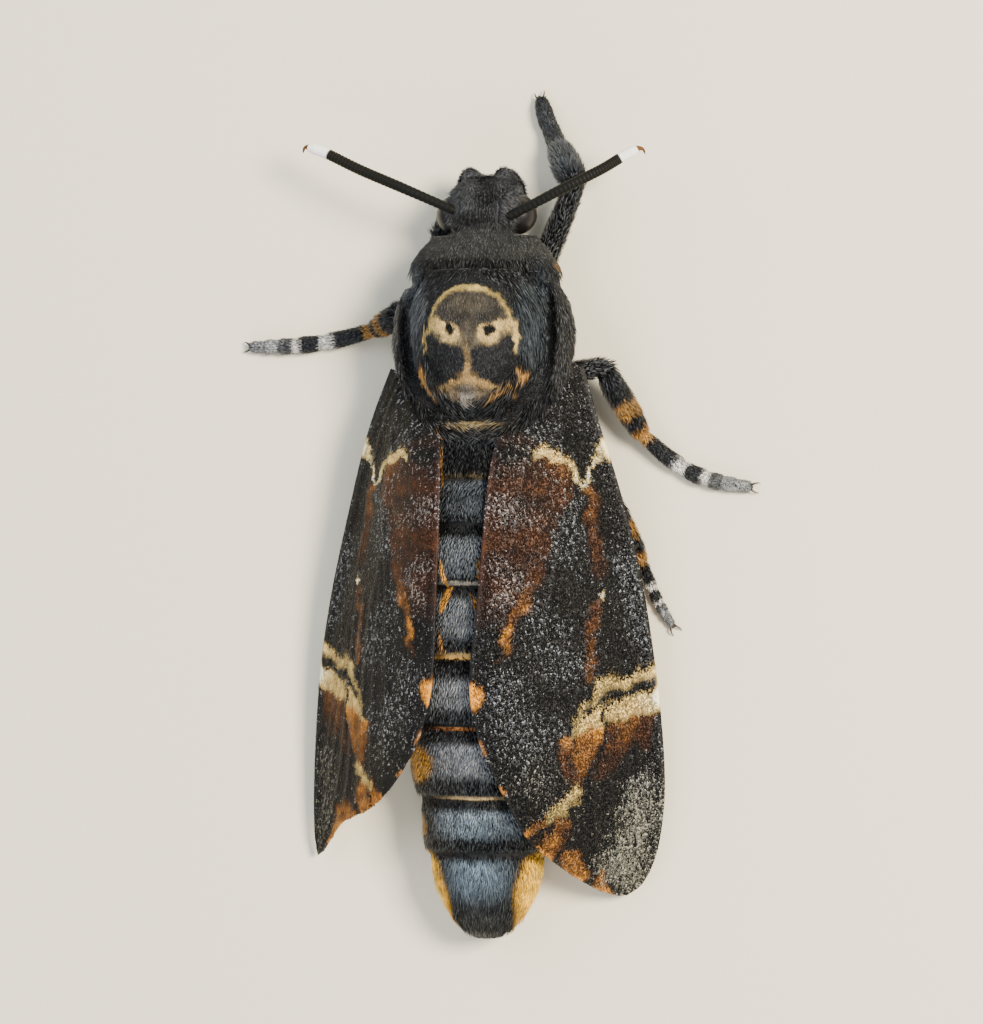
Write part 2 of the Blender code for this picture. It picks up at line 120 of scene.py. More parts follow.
def writePoints(mesh, points):
    mesh.vertices.foreach_set("co", np.ascontiguousarray(points, dtype=np.float32).ravel())
    mesh.update()


def writeAttribute(mesh, name, values):
    kind, field = ("FLOAT_VECTOR", "vector") if values.ndim == 2 else ("FLOAT", "value")
    layer = mesh.attributes.get(name) or mesh.attributes.new(name, kind, "POINT")
    layer.data.foreach_set(field, np.ascontiguousarray(values, dtype=np.float32).ravel())


def smoothLine(knots, share):
    # points at shares 0..1 of a smooth line through the knots
    knots = np.asarray(knots, float)
    last = len(knots) - 1
    where = np.clip(np.asarray(share, float), 0, 1) * last
    i = np.minimum(where.astype(int), last - 1)
    f = (where - i)[:, None]
    slope = np.gradient(knots, axis=0)
    return (knots[i] * (2 * f**3 - 3 * f**2 + 1) + slope[i] * (f**3 - 2 * f**2 + f)
            + knots[i + 1] * (3 * f**2 - 2 * f**3) + slope[i + 1] * (f**3 - f**2))


def unit(vectors):
    return vectors / np.maximum(np.linalg.norm(vectors, axis=-1, keepdims=True), 1e-9)


def ease(share):
    return share * share * (3 - 2 * share)


def lineDistance(plan, line):
    # distance in plan from each point to a line of knots
    best = np.full(len(plan), 99.0)
    line = np.asarray(line, float)
    for a, b in zip(line[:-1], line[1:]):
        run = b - a
        share = np.clip(((plan - a) @ run) / (run @ run), 0, 1)
        best = np.minimum(best, np.linalg.norm(plan - a - share[:, None] * run, axis=1))
    return best


def nearestKnot(points, knots):
    # a few thousand points at a time, to spare memory
    return np.concatenate([np.argmin(((points[i:i + 4000, None] - knots[None]) ** 2).sum(2), axis=1)
                           for i in range(0, len(points), 4000)])


def rolledTube(name, path, radii, around):
    path = np.asarray(path, float)
    radii = np.asarray(radii, float)
    steps = len(path)
    deselectAll()
    bpy.ops.mesh.primitive_grid_add(x_subdivisions=around, y_subdivisions=steps - 1, size=1)
    tube = bpy.context.object
    tube.name = name
    points = readPoints(tube.data)
    row = np.rint((points[:, 1] + 0.5) * (steps - 1)).astype(int)
    angle = (points[:, 0] + 0.5) * 2 * math.pi
    ahead = unit(np.gradient(path, axis=0))
    across = unit(np.cross(ahead, (0, 0, 1.0)) + 1e-6)
    lift = np.cross(across, ahead)
    ring = np.cos(angle)[:, None] * across[row] + np.sin(angle)[:, None] * lift[row]
    writePoints(tube.data, (path[row] + radii[row][:, None] * ring) * mm)
    bpy.ops.object.mode_set(mode="EDIT")
    bpy.ops.mesh.select_all(action="SELECT")
    bpy.ops.mesh.remove_doubles(threshold=0.002 * mm)
    bpy.ops.mesh.normals_make_consistent(inside=False)
    bpy.ops.object.mode_set(mode="OBJECT")
    bpy.ops.object.shade_smooth()
    return tube


print("stage, light and camera")

# The camera looks down at the moth from a little to its right, its up along the body.
view = {"tilt": 13, "distance": 380 * mm, "height": 6 * mm, "mmPerLine": 1 / 11.92, "lines": 1024,
        "aim": (-10.0, 3.5), "sensor": 36, "nearest": 0.005}
tilt = math.radians(view["tilt"])
towards = Vector((math.sin(tilt), 0, math.cos(tilt)))
rightwards = Vector((math.cos(tilt), 0, -math.sin(tilt)))
upwards = Vector((0, 1, 0))
line = view["mmPerLine"] * mm
aim = rightwards * view["aim"][0] * line + upwards * view["aim"][1] * line + towards * view["height"]
cameraData = bpy.data.cameras.new("camera")
camera = bpy.data.objects.new("camera", cameraData)
bpy.context.scene.collection.objects.link(camera)
turn = Matrix((rightwards, upwards, towards)).transposed().to_4x4()
camera.matrix_world = Matrix.Translation(aim + towards * view["distance"]) @ turn
cameraData.sensor_fit = "VERTICAL"
cameraData.sensor_height = view["sensor"]
cameraData.lens = view["sensor"] * view["distance"] / (view["lines"] * line)
cameraData.clip_start = view["nearest"]
bpy.context.scene.camera = camera

floorLook = {"size": 3.0, "colour": "#e2dbc4", "roughness": 0.85}
deselectAll()
bpy.ops.mesh.primitive_plane_add(size=floorLook["size"])
floor = bpy.context.object
floor.name = "floor"
floorMaterial, tree, shader = newMaterial("paleFloor")
finishShader(tree, shader, floorLook["colour"], {"Roughness": floorLook["roughness"]})
floor.data.materials.append(floorMaterial)

lights = {
    "key": {"place": (0.34, 0.10, 0.42), "size": 0.16, "power": 8.4, "colour": "#fff4e2"},
    "fill": {"place": (-0.30, 0.25, 0.45), "size": 0.5, "power": 2.6, "colour": "#e8f0ff"},
    "back": {"place": (0.02, -0.42, 0.35), "size": 0.4, "power": 1.8, "colour": "#ffffff"},
}
for name, look in lights.items():
    lampData = bpy.data.lights.new(name + "Light", "AREA")
    lampData.energy = look["power"]
    lampData.size = look["size"]
    lampData.color = linear(look["colour"])[:3]
    lamp = bpy.data.objects.new(name + "Light", lampData)
    bpy.context.scene.collection.objects.link(lamp)
    lamp.location = look["place"]
    lamp.rotation_euler = (-Vector(look["place"])).to_track_quat("-Z", "Y").to_euler()
world = bpy.data.worlds.new("studio")
bpy.context.scene.world = world
world.use_nodes = True
sky = world.node_tree.nodes["Background"]
sky.inputs["Color"].default_value = linear("#dfe6ee")
sky.inputs["Strength"].default_value = 0.62


# The body's markings, the same on skin and coat.

# Spots: x across and y along the body in mm, half width, half length, turn in degrees, softness, colour.
skull = [
    (0.1, 16, 3.46, 3.06, 0, 0.05, "#b59d58"),  # ochre rim
    (0.05, 14.6, 3.98, 1.8, 0, 0.06, "#ab9558"),
    (0.1, 15.85, 3.18, 2.72, 0, 0.06, "#574c3b"),  # bone
    (0.05, 14.55, 3.76, 1.6, 0, 0.07, "#675b42"),
    (0.15, 16.85, 2.95, 1.7, 0, 0.2, "#2f2b25"),  # grey brow
    (0.2, 17.5, 1.7, 0.8, 0, 0.5, "#423c30"),
    (-2.35, 15.6, 1.15, 0.55, -34, 0.3, "#bda268"),  # left socket
    (-1.4, 15, 0.8, 0.88, 0, 0.25, "#bda268"),
    (2.75, 15.55, 1.15, 0.5, 20, 0.3, "#bda268"),  # right socket
    (1.78, 14.95, 0.86, 0.84, 0, 0.25, "#bda268"),
    (0.2, 14.8, 0.55, 1.3, 0, 0.5, "#443d31"),  # bridge
    (-2.1, 12.45, 1.95, 1.7, 12, 0.14, "#0f1012"),  # cheeks
    (2.3, 12.35, 2, 1.7, -12, 0.14, "#0f1012"),
    (-0.85, 12.85, 0.75, 1.1, 0, 0.25, "#131316"),
    (1.05, 12.85, 0.8, 1.15, 0, 0.25, "#131316"),
    (-3.1, 13.9, 0.8, 1.15, 24, 0.2, "#0f1012"),
    (3.25, 13.8, 0.66, 1.1, -16, 0.2, "#0f1012"),
    (-3.2, 11, 1.1, 1.6, 30, 0.2, "#0b0c0e"),
    (3.3, 11.1, 1.1, 1.6, -30, 0.2, "#0b0c0e"),
    (0.1, 9.2, 3.9, 1, 0, 0.2, "#0b0c0e"),
    (-1.45, 15.45, 0.34, 0.56, 24, 0.2, "#030303"),  # eye spots
    (1.87, 15.3, 0.5, 0.38, 24, 0.2, "#030303"),
    (0.05, 13, 0.17, 1.5, 0, 0.6, "#786440"),  # nose line
    (-0.95, 10.95, 1.6, 0.32, 22, 0.6, "#9a7d4c"),  # jaw
    (1.05, 10.9, 1.6, 0.32, -22, 0.6, "#9a7d4c"),
    (0, 11.35, 0.42, 1, 0, 0.5, "#987c50"),
    (-0.15, 10.2, 1.5, 0.7, 0, 0.5, "#6a5a44"),  # grey chin
    (-0.15, 9.9, 0.62, 0.7, 0, 0.6, "#6a655e"),
    (-3.88, 14.7, 0.16, 1.2, 5, 0.3, "#b89a5a"),  # side lines
    (3.86, 14.8, 0.17, 1.3, -2, 0.3, "#bda268"),
    (-4.35, 11.5, 0.56, 0.76, 14, 0.3, "#a87a36"),  # ochre tufts
    (-3.7, 10.3, 0.32, 1.15, 30, 0.3, "#8e6a34"),
    (4.02, 11.5, 0.28, 0.6, 4, 0.3, "#a2763a"),
    (2.5, 10.05, 0.15, 1.6, -59, 0.3, "#7c5c30"),
    (3.4, 9.8, 0.16, 0.22, 0, 0.4, "#7c5c30"),
    (0.1, 7.45, 2.1, 0.3, 0, 0.4, "#6d5e40"),  # pale cross band
]
trunkMarksAndPaintedLight = [
    (4.9, 16.2, 1.15, 4.2, -4, 0.5, "#2a3034"),  # blue-black shoulders, their blue-grey partly the fur's own and partly painted sheen
    (-5.2, 14.6, 1.3, 2.4, 4, 0.4, "#292b2d"),
    # painted light: the left shoulder, turned away from the main lamp, is painted lighter than the right
    (-5.3, 17.6, 1.4, 2.8, 4, 0.4, "#494d50"),
    (7.4, 15, 1.15, 5.8, 0, 0.3, "#292826"),  # outer shoulder covers; the left one is painted lighter than the right, as painted light on the side turned away from the main lamp
    (-7.75, 15, 1, 5.8, 0, 0.3, "#464540"),
    (6.2, 15.4, 0.45, 3.8, 2, 0.4, "#020202"),  # grooves inside them, painted near black as painted shade
    (-6.85, 15, 0.24, 3.4, -2, 0.4, "#0c0c0c"),
    (6.9, 21, 0.6, 0.8, 0, 0.4, "#94703a"),  # ochre at the collar's edge
    (-7.2, 20.9, 0.5, 0.5, 0, 0.4, "#5d4a2c"),
    (0.7, 26.5, 1.3, 1.1, 20, 0.6, "#131415"),  # the crown's patches
    (-1.7, 26.1, 1, 1.5, 10, 0.6, "#343738"),
    (-0.4, 24.7, 1.6, 0.6, 0, 0.6, "#1b1b1b"),
    (0, 28.4, 0.5, 1.1, 0, 0.6, "#0c0c0d"),
]
wedgeMarks = [  # yellow wedges beside the seams, between the wings
    (-2.45, -4.75, 0.22, 1, 14, 0.3, "#cf9136"),
    (-2.3, -7, 0.3, 1.1, -22, 0.3, "#cf9136"),
    (0.5, -7.5, 0.2, 1, 32, 0.3, "#cf9136"),
    (0.8, -4.3, 0.22, 0.9, -6, 0.3, "#b07a2c"),
    (-2.6, 4.4, 0.2, 2.4, 2, 0.3, "#8a6026"),
    (-2.75, -10.6, 0.2, 1.2, 4, 0.3, "#a8702a"),
]
# Colours along the middle of the back: y in mm, colour. On the abdomen's rings the blue-grey is partly its own
# colour and partly painted sheen, brightest mid-ring, and the darkening towards each seam is partly the rings'
# own black bands and partly painted shade. Two ramps, because one holds 32 stops.
backBands = [
    (-36, "#1c1c1b"), (-33.2, "#242626"), (-32.4, "#333a40"), (-31.7, "#5a6874"), (-29.4, "#687886"),
    (-28.75, "#1d2023"), (-28.2, "#0d0d0e"), (-27.2, "#15171a"), (-26.6, "#7e8d98"), (-25, "#909fab"),
    (-24.5, "#1d1f22"), (-23.75, "#0b0b0b"), (-23.7, "#b0976a"), (-23.4, "#b0976a"), (-23.35, "#141211"),
    (-22.2, "#1e2023"), (-21.5, "#7a7e82"), (-19.4, "#92959a"), (-18.85, "#1d1e20"), (-17.95, "#0e0d0c"),
    (-17.9, "#8a5020"), (-17.65, "#8e6030"), (-17.6, "#100f0e"), (-16.4, "#232527"), (-15.8, "#818487"),
    (-13.9, "#929599"), (-13.3, "#1b1c1e"), (-12, "#0d0c0b"), (-11.95, "#cd9c50"), (-11.4, "#d3b070"),
    (-11.3, "#17130f"),
]
frontBands = [
    (-11.3, "#17130f"), (-10.6, "#1d1e20"), (-10.2, "#45484b"), (-9.6, "#7b7f83"), (-7, "#6a6e72"),
    (-6.5, "#131416"), (-5.8, "#0d0d0e"), (-5.75, "#b4ac9e"), (-5.5, "#a79d8a"), (-5.45, "#0d0d0e"),
    (-5.1, "#202326"), (-4.7, "#5f656b"), (-2.2, "#6f757b"), (-1.6, "#121315"), (-0.2, "#131416"),
    (0.3, "#42464b"), (2.6, "#4a4f54"), (3, "#141414"), (3.4, "#5a4c2c"), (3.6, "#0a0a0a"), (6.6, "#0c0d0f"),
    (7, "#15130f"), (7.8, "#0d0d0e"), (19.6, "#101112"), (20.6, "#181818"), (21.4, "#232321"), (24, "#2d2d2c"),
    (25.5, "#3c3d40"), (30, "#3b3c3e"),
]
# Marks on the flanks, as spots at 10 times the angle from the back's middle over a half turn, and y.
flankMarks = [
    (near + 1.15, (front + rear) / 2 - 0.3, 1.25, (front - rear) * 0.24, 0, 0.25, hexColour)
    for front, rear, near, hexColour in (
        (3.6, -0.6, 2.6, "#a8792c"), (-0.6, -5.7, 2.6, "#b98430"), (-5.7, -11.6, 2.6, "#c08a32"),
        (-11.6, -17.4, 2.6, "#bb8228"), (-17.4, -23.5, 2.1, "#ba8428"), (-23.5, -28.2, 3.3, "#a87a2c"))
]
flankMarks += [
    (5.4, -31.2, 2.9, 3.5, 0, 0.16, "#dea528"),  # yellow sides of the tail
    (4.6, -31, 1.6, 2.4, 0, 0.4, "#f0c040"),
    (8.8, -30.8, 1.5, 3, 0, 0.4, "#33291b"),
]
legBands = [  # 1 to 2 thigh, 2 to 3 shin, 3 to 4 foot; a fore leg's values are 10 higher
    (1, "#17181a"), (2, "#1b1c20"), (2.42, "#1f2124"), (2.48, "#a87c3c"), (2.64, "#a87c3c"), (2.69, "#17181b"),
    (2.85, "#17181b"), (2.89, "#b5803c"), (3.04, "#c0904c"), (3.07, "#17181a"), (3.3, "#202327"),
    (3.385, "#e6e4df"), (3.44, "#dcdad5"), (3.46, "#1a1c1e"), (3.585, "#242629"), (3.61, "#dedbd4"),
    (3.65, "#d0cdc7"), (3.67, "#3c3e40"), (3.76, "#626465"), (3.8, "#97999a"), (4, "#7c7d7e"),
]
foreLegBands = [
    (11, "#121315"), (12, "#191a1c"), (12.12, "#484c4f"), (12.85, "#5f6367"), (13, "#3c3f42"),
    (13.5, "#303336"), (14, "#2e3133"),
]


def ramp(tree, bands, value):
    # a colour ramp over its bands' own range
    low, high = bands[0][0], bands[-1][0]
    node = addNode(tree, "ValToRGB", addNode(tree, "MapRange", value, low, high))
    stops = node.color_ramp.elements
    while len(stops) < len(bands):
        stops.new(0.5)
    for stop, (place, colour) in zip(stops, bands):
        stop.position = (place - low) / (high - low)
        stop.color = linear(colour)
    return node


def paintSpots(tree, under, place, spots):
    for x, y, halfWide, halfLong, turn, soft, colour in spots:
        local = addNode(tree, "Mapping", place, (x, y, 0), (0, 0, math.radians(turn)), (halfWide, halfLong, 1),
                        vector_type="TEXTURE")
        far = addNode(tree, "VectorMath", local, operation="LENGTH")
        mask = addNode(tree, "MapRange", far, 1 + soft, 1 - soft, interpolation_type="SMOOTHSTEP")
        under = addNode(tree, "Mix", mask, under, colour)
    return under


def bodyColour(tree):
    # the moth's markings at the attribute "place", in mm, as the coat's roots and the skin carry it
    place = addNode(tree, "Attribute", attribute_name="place").outputs["Vector"]
    leg = addNode(tree, "Attribute", attribute_name="leg").outputs["Fac"]
    flank = addNode(tree, "Attribute", attribute_name="flank").outputs["Fac"]
    wobble = addNode(tree, "TexNoise", place, 1.6, 4)
    shift = addNode(tree, "VectorMath", wobble.outputs["Color"], (0.5, 0.5, 0.5), operation="SUBTRACT")
    ragged = addNode(tree, "VectorMath", shift, (0.75, 0.75, 0), place, operation="MULTIPLY_ADD")
    flat = addNode(tree, "VectorMath", ragged, (1, 1, 0), operation="MULTIPLY")
    steady = addNode(tree, "VectorMath", shift, (0, 0.22, 0), place, operation="MULTIPLY_ADD")
    along = addNode(tree, "SeparateXYZ", steady).outputs["Y"]
    rear = ramp(tree, backBands, along)
    fore = ramp(tree, frontBands, along)
    isFore = addNode(tree, "Math", along, frontBands[0][0], operation="GREATER_THAN")
    back = addNode(tree, "Mix", isFore, rear, fore)
    # the sheen of the back fades down the sides: the back's blue-grey, partly its own colour and partly painted
    # sheen, goes to near black
    fade = addNode(tree, "MapRange", flank, 0.05, 0.27)
    fading = addNode(tree, "Math", along, 5, operation="LESS_THAN")
    fade = addNode(tree, "Math", fade, fading, operation="MULTIPLY")
    colour = addNode(tree, "Mix", fade, back, "#100f0f")
    ringwise = addNode(tree, "SeparateXYZ", flat).outputs["Y"]
    angled = addNode(tree, "Math", flank, 10, operation="MULTIPLY")
    side = addNode(tree, "CombineXYZ", angled, ringwise)
    colour = paintSpots(tree, colour, side, flankMarks)
    # the skull and shoulder marks are only on the top
    height = addNode(tree, "SeparateXYZ", place).outputs["Z"]
    marked = paintSpots(tree, colour, flat, trunkMarksAndPaintedLight + skull + wedgeMarks)
    isTop = addNode(tree, "MapRange", height, 5.5, 7)
    colour = addNode(tree, "Mix", isTop, colour, marked)
    legColour = ramp(tree, legBands, leg)
    foreColour = ramp(tree, foreLegBands, leg)
    isForeLeg = addNode(tree, "Math", leg, 10, operation="GREATER_THAN")
    legColour = addNode(tree, "Mix", isForeLeg, legColour, foreColour)
    isLeg = addNode(tree, "Math", leg, 0.5, operation="GREATER_THAN")
    colour = addNode(tree, "Mix", isLeg, colour, legColour)
    # lighter and darker patches, about 1 mm across
    cloud = addNode(tree, "TexNoise", place, 1.1, 3)
    patch = addNode(tree, "MapRange", cloud, 0.35, 0.65, 0.7, 1.35)
    return addNode(tree, "VectorMath", colour, patch, operation="SCALE"), place


print("materials")

# Moth fur is flattened hair-scales of chitin: dull along the hair, with a faint blue sheen, which furMaterial
# paints into the colour as pale blue-grey highlights.
furLook = {"Roughness": 0.42, "IOR": 1.5, "Specular IOR Level": 0.22}


def furMaterial(name, colourOf, darkest, brightest, glint):
    material, tree, shader = newMaterial(name)
    colour = colourOf(tree)[0]
    tone, tip = (addNode(tree, "Attribute", attribute_name=name).outputs["Fac"] for name in ("tone", "tip"))
    # each tuft is lighter or darker than its neighbours, and lighter to its tip
    both = addNode(tree, "Math", tone, 0.55, tip, operation="MULTIPLY_ADD")
    gain = addNode(tree, "MapRange", both, 0, 1.55, darkest, brightest)
    lit = addNode(tree, "VectorMath", colour, gain, operation="SCALE")
    # painted highlight: the tips of a few tufts are mixed towards pale blue-grey, as if they caught the light
    catch = addNode(tree, "MapRange", both, 0.95, 1.5, 0, glint)
    deep = addNode(tree, "MapRange", colour, 0.0012, 0.006)
    catch = addNode(tree, "Math", catch, deep, operation="MULTIPLY")
    finishShader(tree, shader, addNode(tree, "Mix", catch, lit, "#8b9094"), furLook)
    return material


bodyFur = furMaterial("mothFur", bodyColour, 0.25, 1.75, 0.6)

# Bare skin under the coat, with overlapping scales 0.15 mm across.
skinMaterial, tree, shader = newMaterial("scaledSkin")
colour, place = bodyColour(tree)
dim = addNode(tree, "VectorMath", colour, 0.75, operation="SCALE")
finishShader(tree, shader, dim, {"Roughness": 0.6, "Specular IOR Level": 0.2}, (place, 6, 0.9, 0.5, 0.0001))


print("skin")

# Hip, knee, ankle and toe; half widths of thigh, shin and foot; the foot's bend, its taper from
# ankle to toe, and how narrow it is between two of its segments.
legs = {
    "front_left": {"at": ((3, 17.5, 3), (4.7, 23.4, 3.1), (3.3, 26.2, 1.5), (1.2, 28.4, 0.46)),
                   "half": (1, 1.15, 0.55), "bend": 0.1, "taper": (1.2, 0.65), "waist": 0.74},
    "front_right": {"at": ((3.4, 18.8, 3.2), (7.25, 27.8, 3.9), (5.3, 31.2, 1.5), (3.6, 35.3, 0.44)),
                    "half": (1.1, 1.45, 0.92), "bend": 0.04, "taper": (1.2, 0.62), "waist": 0.88},
    "middle_left": {"at": ((3.8, 13, 2.9), (7.6, 17.2, 3.9), (10.6, 15.9, 1.7), (22, 14.5, 0.55)),
                    "half": (1, 1.15, 0.9), "bend": 0.04, "taper": (0.85, 0.6), "waist": 0.74},
    "middle_right": {"at": ((3.8, 11.5, 2.9), (9.6, 12.5, 4), (12.5, 6.9, 1.7), (21.6, 2.4, 0.55)),
                     "half": (1, 1.2, 0.9), "bend": -0.11, "taper": (0.85, 0.6), "waist": 0.74},
    "hind_left": {"at": ((3.6, 8, 2.6), (9.2, 3, 3.2), (10.6, -4.6, 1.3), (12.4, -11, 0.5)),
                  "half": (0.95, 0.9, 0.6), "bend": -0.06, "taper": (0.8, 0.6), "waist": 0.74},
    "hind_right": {"at": ((3.6, 7.5, 2.6), (9.6, 2.6, 3.2), (12.4, -3.6, 1.3), (14.9, -9.3, 0.5)),
                   "half": (0.95, 0.9, 0.6), "bend": -0.05, "taper": (0.8, 0.6), "waist": 0.74},
}
limbLook = {"thighEnds": (0.8, 0.7), "shinEnds": (0.7, 0.6), "slim": 0.93, "steps": 22, "footSteps": 61,
            "tarsalEnds": (0, 0.40, 0.62, 0.76, 0.88, 1),  # the foot's five segments
            "flare": 0.98, "flareAt": 0.93, "footRise": 0.84, "footDown": 0.35}


def swell(ends, share):
    # a limb's thickness along it, thinner towards its joints
    joint = ends[0] + (ends[1] - ends[0]) * share
    return joint + (1 - joint) * math.sin(math.pi * share) ** 0.6


def legCourse(name, look):
    # centre line, half thickness and the value 1 to 4 of thigh, shin and foot
    hip, knee, ankle, toe = (np.array(point) * (sides[name.split("_")[1]], 1, 1) for point in look["at"])
    thigh, shin, foot = look["half"]
    isFore = 10 * name.startswith("front")
    path, radii, value = [], [], []
    for start, end, half, ends, base in ((hip, knee, thigh, limbLook["thighEnds"], 1),
                                         (knee, ankle, shin, limbLook["shinEnds"], 2)):
        for share in np.linspace(0, 1, limbLook["steps"]):
            path.append(start + (end - start) * share)
            radii.append(half * swell(ends, share) * limbLook["slim"])
            value.append(base + share + isFore)
    run = toe - ankle
    across = np.array((-run[1], run[0], 0)) * look["bend"]
    tarsalEnds, flare, flareAt = limbLook["tarsalEnds"], limbLook["flare"], limbLook["flareAt"]
    for share in np.linspace(0, 1, limbLook["footSteps"]):
        size = foot * swell(look["taper"], share)
        place = ankle + run * share + across * math.sin(math.pi * share)
        down = min(1, share / limbLook["footDown"])
        place[2] = ankle[2] + (limbLook["footRise"] * size - ankle[2]) * down
        i = max(k for k in range(5) if share >= tarsalEnds[k] - 1e-6)
        inside = (share - tarsalEnds[i]) / (tarsalEnds[i + 1] - tarsalEnds[i])
        narrow = 1 - inside**0.7 if inside < flareAt else (inside - flareAt) / 0.07
        path.append(place)
        radii.append(size * (flare - (flare - look["waist"]) * narrow))
        value.append(3 + share + isFore)
    return np.array(path), np.array(radii), np.array(value)


courses = {name: legCourse(name, look) for name, look in legs.items()}
legNodes = [f"leg_{name}_{part}" for name in legs for part in ("femur", "tibia", "tarsus")]
trunkNodes = ["collar", "thorax", "tegula_left", "tegula_right", "head", "palp_left", "palp_right",
              "abdomen_tail", *(f"abdomen_ring_{i}" for i in range(1, 8))]

# How deep the skin lies under the model's outline, in mm: the coat's own depth, and the valleys
# that part the abdomen's rings, the shoulder covers and the collar.
shoulderLines = (
    ((5, 20.6), (5.75, 19.6), (6.25, 17.9), (6.3, 14.9), (5.85, 12.3), (4.8, 10.2), (3.6, 9)),
    ((-5.1, 20.4), (-6, 19.4), (-6.5, 17.7), (-6.6, 14.7), (-6.1, 12.3), (-5, 10.4), (-3.5, 9.2)),
)
skinLook = {
    "depthY": (-36, -33, -30, -27, 0, 5, 8, 11, 14, 20, 23, 25, 27, 30),
    "depth": (0.35, 0.34, 0.3, 0.25, 0.28, 0.35, 0.5, 0.6, 0.6, 0.6, 0.6, 0.4, 0.3, 0.25),
    "rings": (3.6, -0.6, -5.7, -11.6, -17.4, -23.5, -28.2), "ringStep": 0.42, "ringTuck": 0.3,
    "grooves": [  # line, depth, half width
        *((line, 1.25, 0.48) for line in shoulderLines),
        (((-6.4, 19.9), (-4.1, 20.9), (-2.2, 21.2), (0.8, 21.35), (4, 20.8), (6.3, 19.8)), 0.7, 0.45),
        (((-4, 8.2), (0, 7.9), (4, 8.4)), 0.5, 0.5),
    ],
    "skull": (0.15, 14.9), "skullHalf": (4.1, 4.7), "skullRise": 0.35, "flankRise": 0.4,
}


def skinDepth(points):
    x, y, z = points.T
    plan = points[:, :2]
    depth = np.interp(y, skinLook["depthY"], skinLook["depth"])
    rings = (7, *skinLook["rings"], -37)
    for front, rear in zip(rings[:-1], rings[1:]):
        share = (front - y) / (front - rear)
        inside = (share >= 0) & (share < 1) & (front < 6)
        tuck = 1 - ease(np.clip(share / skinLook["ringTuck"], 0, 1))
        depth += np.where(inside, skinLook["ringStep"] * tuck * np.interp(z, (6, 9), (0.25, 1)), 0)
    depth -= skinLook["flankRise"] * np.interp(y, (6, 9, 20, 22), (0, 1, 1, 0)) * np.clip((x - 5.6) / 0.8, 0, 1)
    top = np.clip((z - 7.2) / 1.6, 0, 1)
    for line, deep, half in skinLook["grooves"]:
        depth += top * deep * np.exp(-(lineDistance(plan, line) / half) ** 2)
    reach = np.linalg.norm((plan - skinLook["skull"]) / skinLook["skullHalf"], axis=1)
    depth -= top * skinLook["skullRise"] * np.clip((1.05 - reach) / 0.15, 0, 1)
    return depth


bodyCourse = {  # the trunk's half width, top and underside along y, in mm
    "y": (-36, -34.4, -32.2, -28.5, -24.5, -20, -12, -4, 3.5, 7.2, 10, 13.5, 17, 20.4, 22, 23.3, 24.1, 30),
    "half": (1.05, 2.95, 4.3, 5.5, 6, 6.9, 6.7, 6.6, 6.3, 6.2, 6.45, 6.65, 6.75, 6.75, 6.4, 5.3, 4.3, 3.5),
    "top": (4.3, 6.1, 7.2, 8.5, 9.4, 10.3, 11.3, 11.9, 12.1, 12.1, 12.6, 13.3, 13.4, 12.4, 11.4, 10, 8.8, 7),
    "under": (2.3, 0.9, 0.1, -0.12, -0.12, 0.1, 0.5, 1.1, 1.6, 1.9, 2, 1.8, 1.7, 1.9, 2.3, 2.9, 3.5, 2),
}


def flankOf(points):
    # 0 on the middle of the back, 0.5 at the widest, 1 on the middle of the belly
    y = points[:, 1]
    half, top, under = (np.interp(y, bodyCourse["y"], bodyCourse[key]) for key in ("half", "top", "under"))
    middle = -0.45 * (np.clip(7.2 - y, 0, None) / 43.2) ** 2  # the tail swings a little to the left
    widest = under + 0.45 * (top - under)
    rise = points[:, 2] - widest
    rise = np.where(rise > 0, rise / (top - widest), rise / (widest - under))
    return np.arctan2(np.abs(points[:, 0] - middle) / half, rise) / math.pi


def copyNode(name):
    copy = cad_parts[name].copy()
    copy.data = copy.data.copy()
    copy.parent = None
    bpy.context.scene.collection.objects.link(copy)
    for key in list(copy.keys()):
        del copy[key]
    return copy


def remeshed(objs, name, voxel, rounds):
    pick(*objs)
    bpy.ops.object.join()
    joined = bpy.context.object
    joined.name = name
    bpy.ops.object.mode_set(mode="EDIT")
    bpy.ops.mesh.select_all(action="SELECT")
    bpy.ops.mesh.remove_doubles(threshold=0.001 * mm)
    bpy.ops.object.mode_set(mode="OBJECT")
    remesh = joined.modifiers.new("remesh", "REMESH")
    remesh.mode = "VOXEL"
    remesh.voxel_size = voxel * mm
    soften = joined.modifiers.new("soften", "SMOOTH")
    soften.factor = 0.5
    soften.iterations = rounds
    applyModifiers(joined)
    bpy.ops.object.shade_smooth()
    return joined


remeshLook = {"trunk": (0.25, 5), "limbs": (0.136, 2),  # voxel in mm, rounds of smoothing
              "sunk": 0.88, "cap": 0.6, "around": 14}
trunk = remeshed([copyNode(name) for name in trunkNodes], "trunkSkin", *remeshLook["trunk"])
points = readPoints(trunk.data)
inward = readPoints(trunk.data, "normal") * skinDepth(points / mm)[:, None] * mm
writePoints(trunk.data, points - inward)
tubes = []
knee, ankle = limbLook["steps"], 2 * limbLook["steps"]
for name, (path, radii, _) in courses.items():
    for a, b, part in ((0, knee, "Thigh"), (knee, ankle, "Shin"), (ankle, len(path), "Foot")):
        before = path[a] - (path[a + 1] - path[a]) * remeshLook["cap"]
        after = path[b - 1] + (path[b - 1] - path[b - 2]) * remeshLook["cap"]
        capped = np.concatenate(([before], path[a:b], [after]))
        half = np.concatenate(([0], radii[a:b] * remeshLook["sunk"], [0]))
        tubes.append(rolledTube(f"{name}{part}", capped, half, remeshLook["around"]))
limbs = remeshed(tubes, "limbSkin", *remeshLook["limbs"])
pick(trunk, limbs)
bodyCount = len(trunk.data.vertices)
bpy.ops.object.join()
skin = bpy.context.object
skin.name = "skin"
skin.data.materials.clear()
skin.data.materials.append(skinMaterial)
points = readPoints(skin.data)
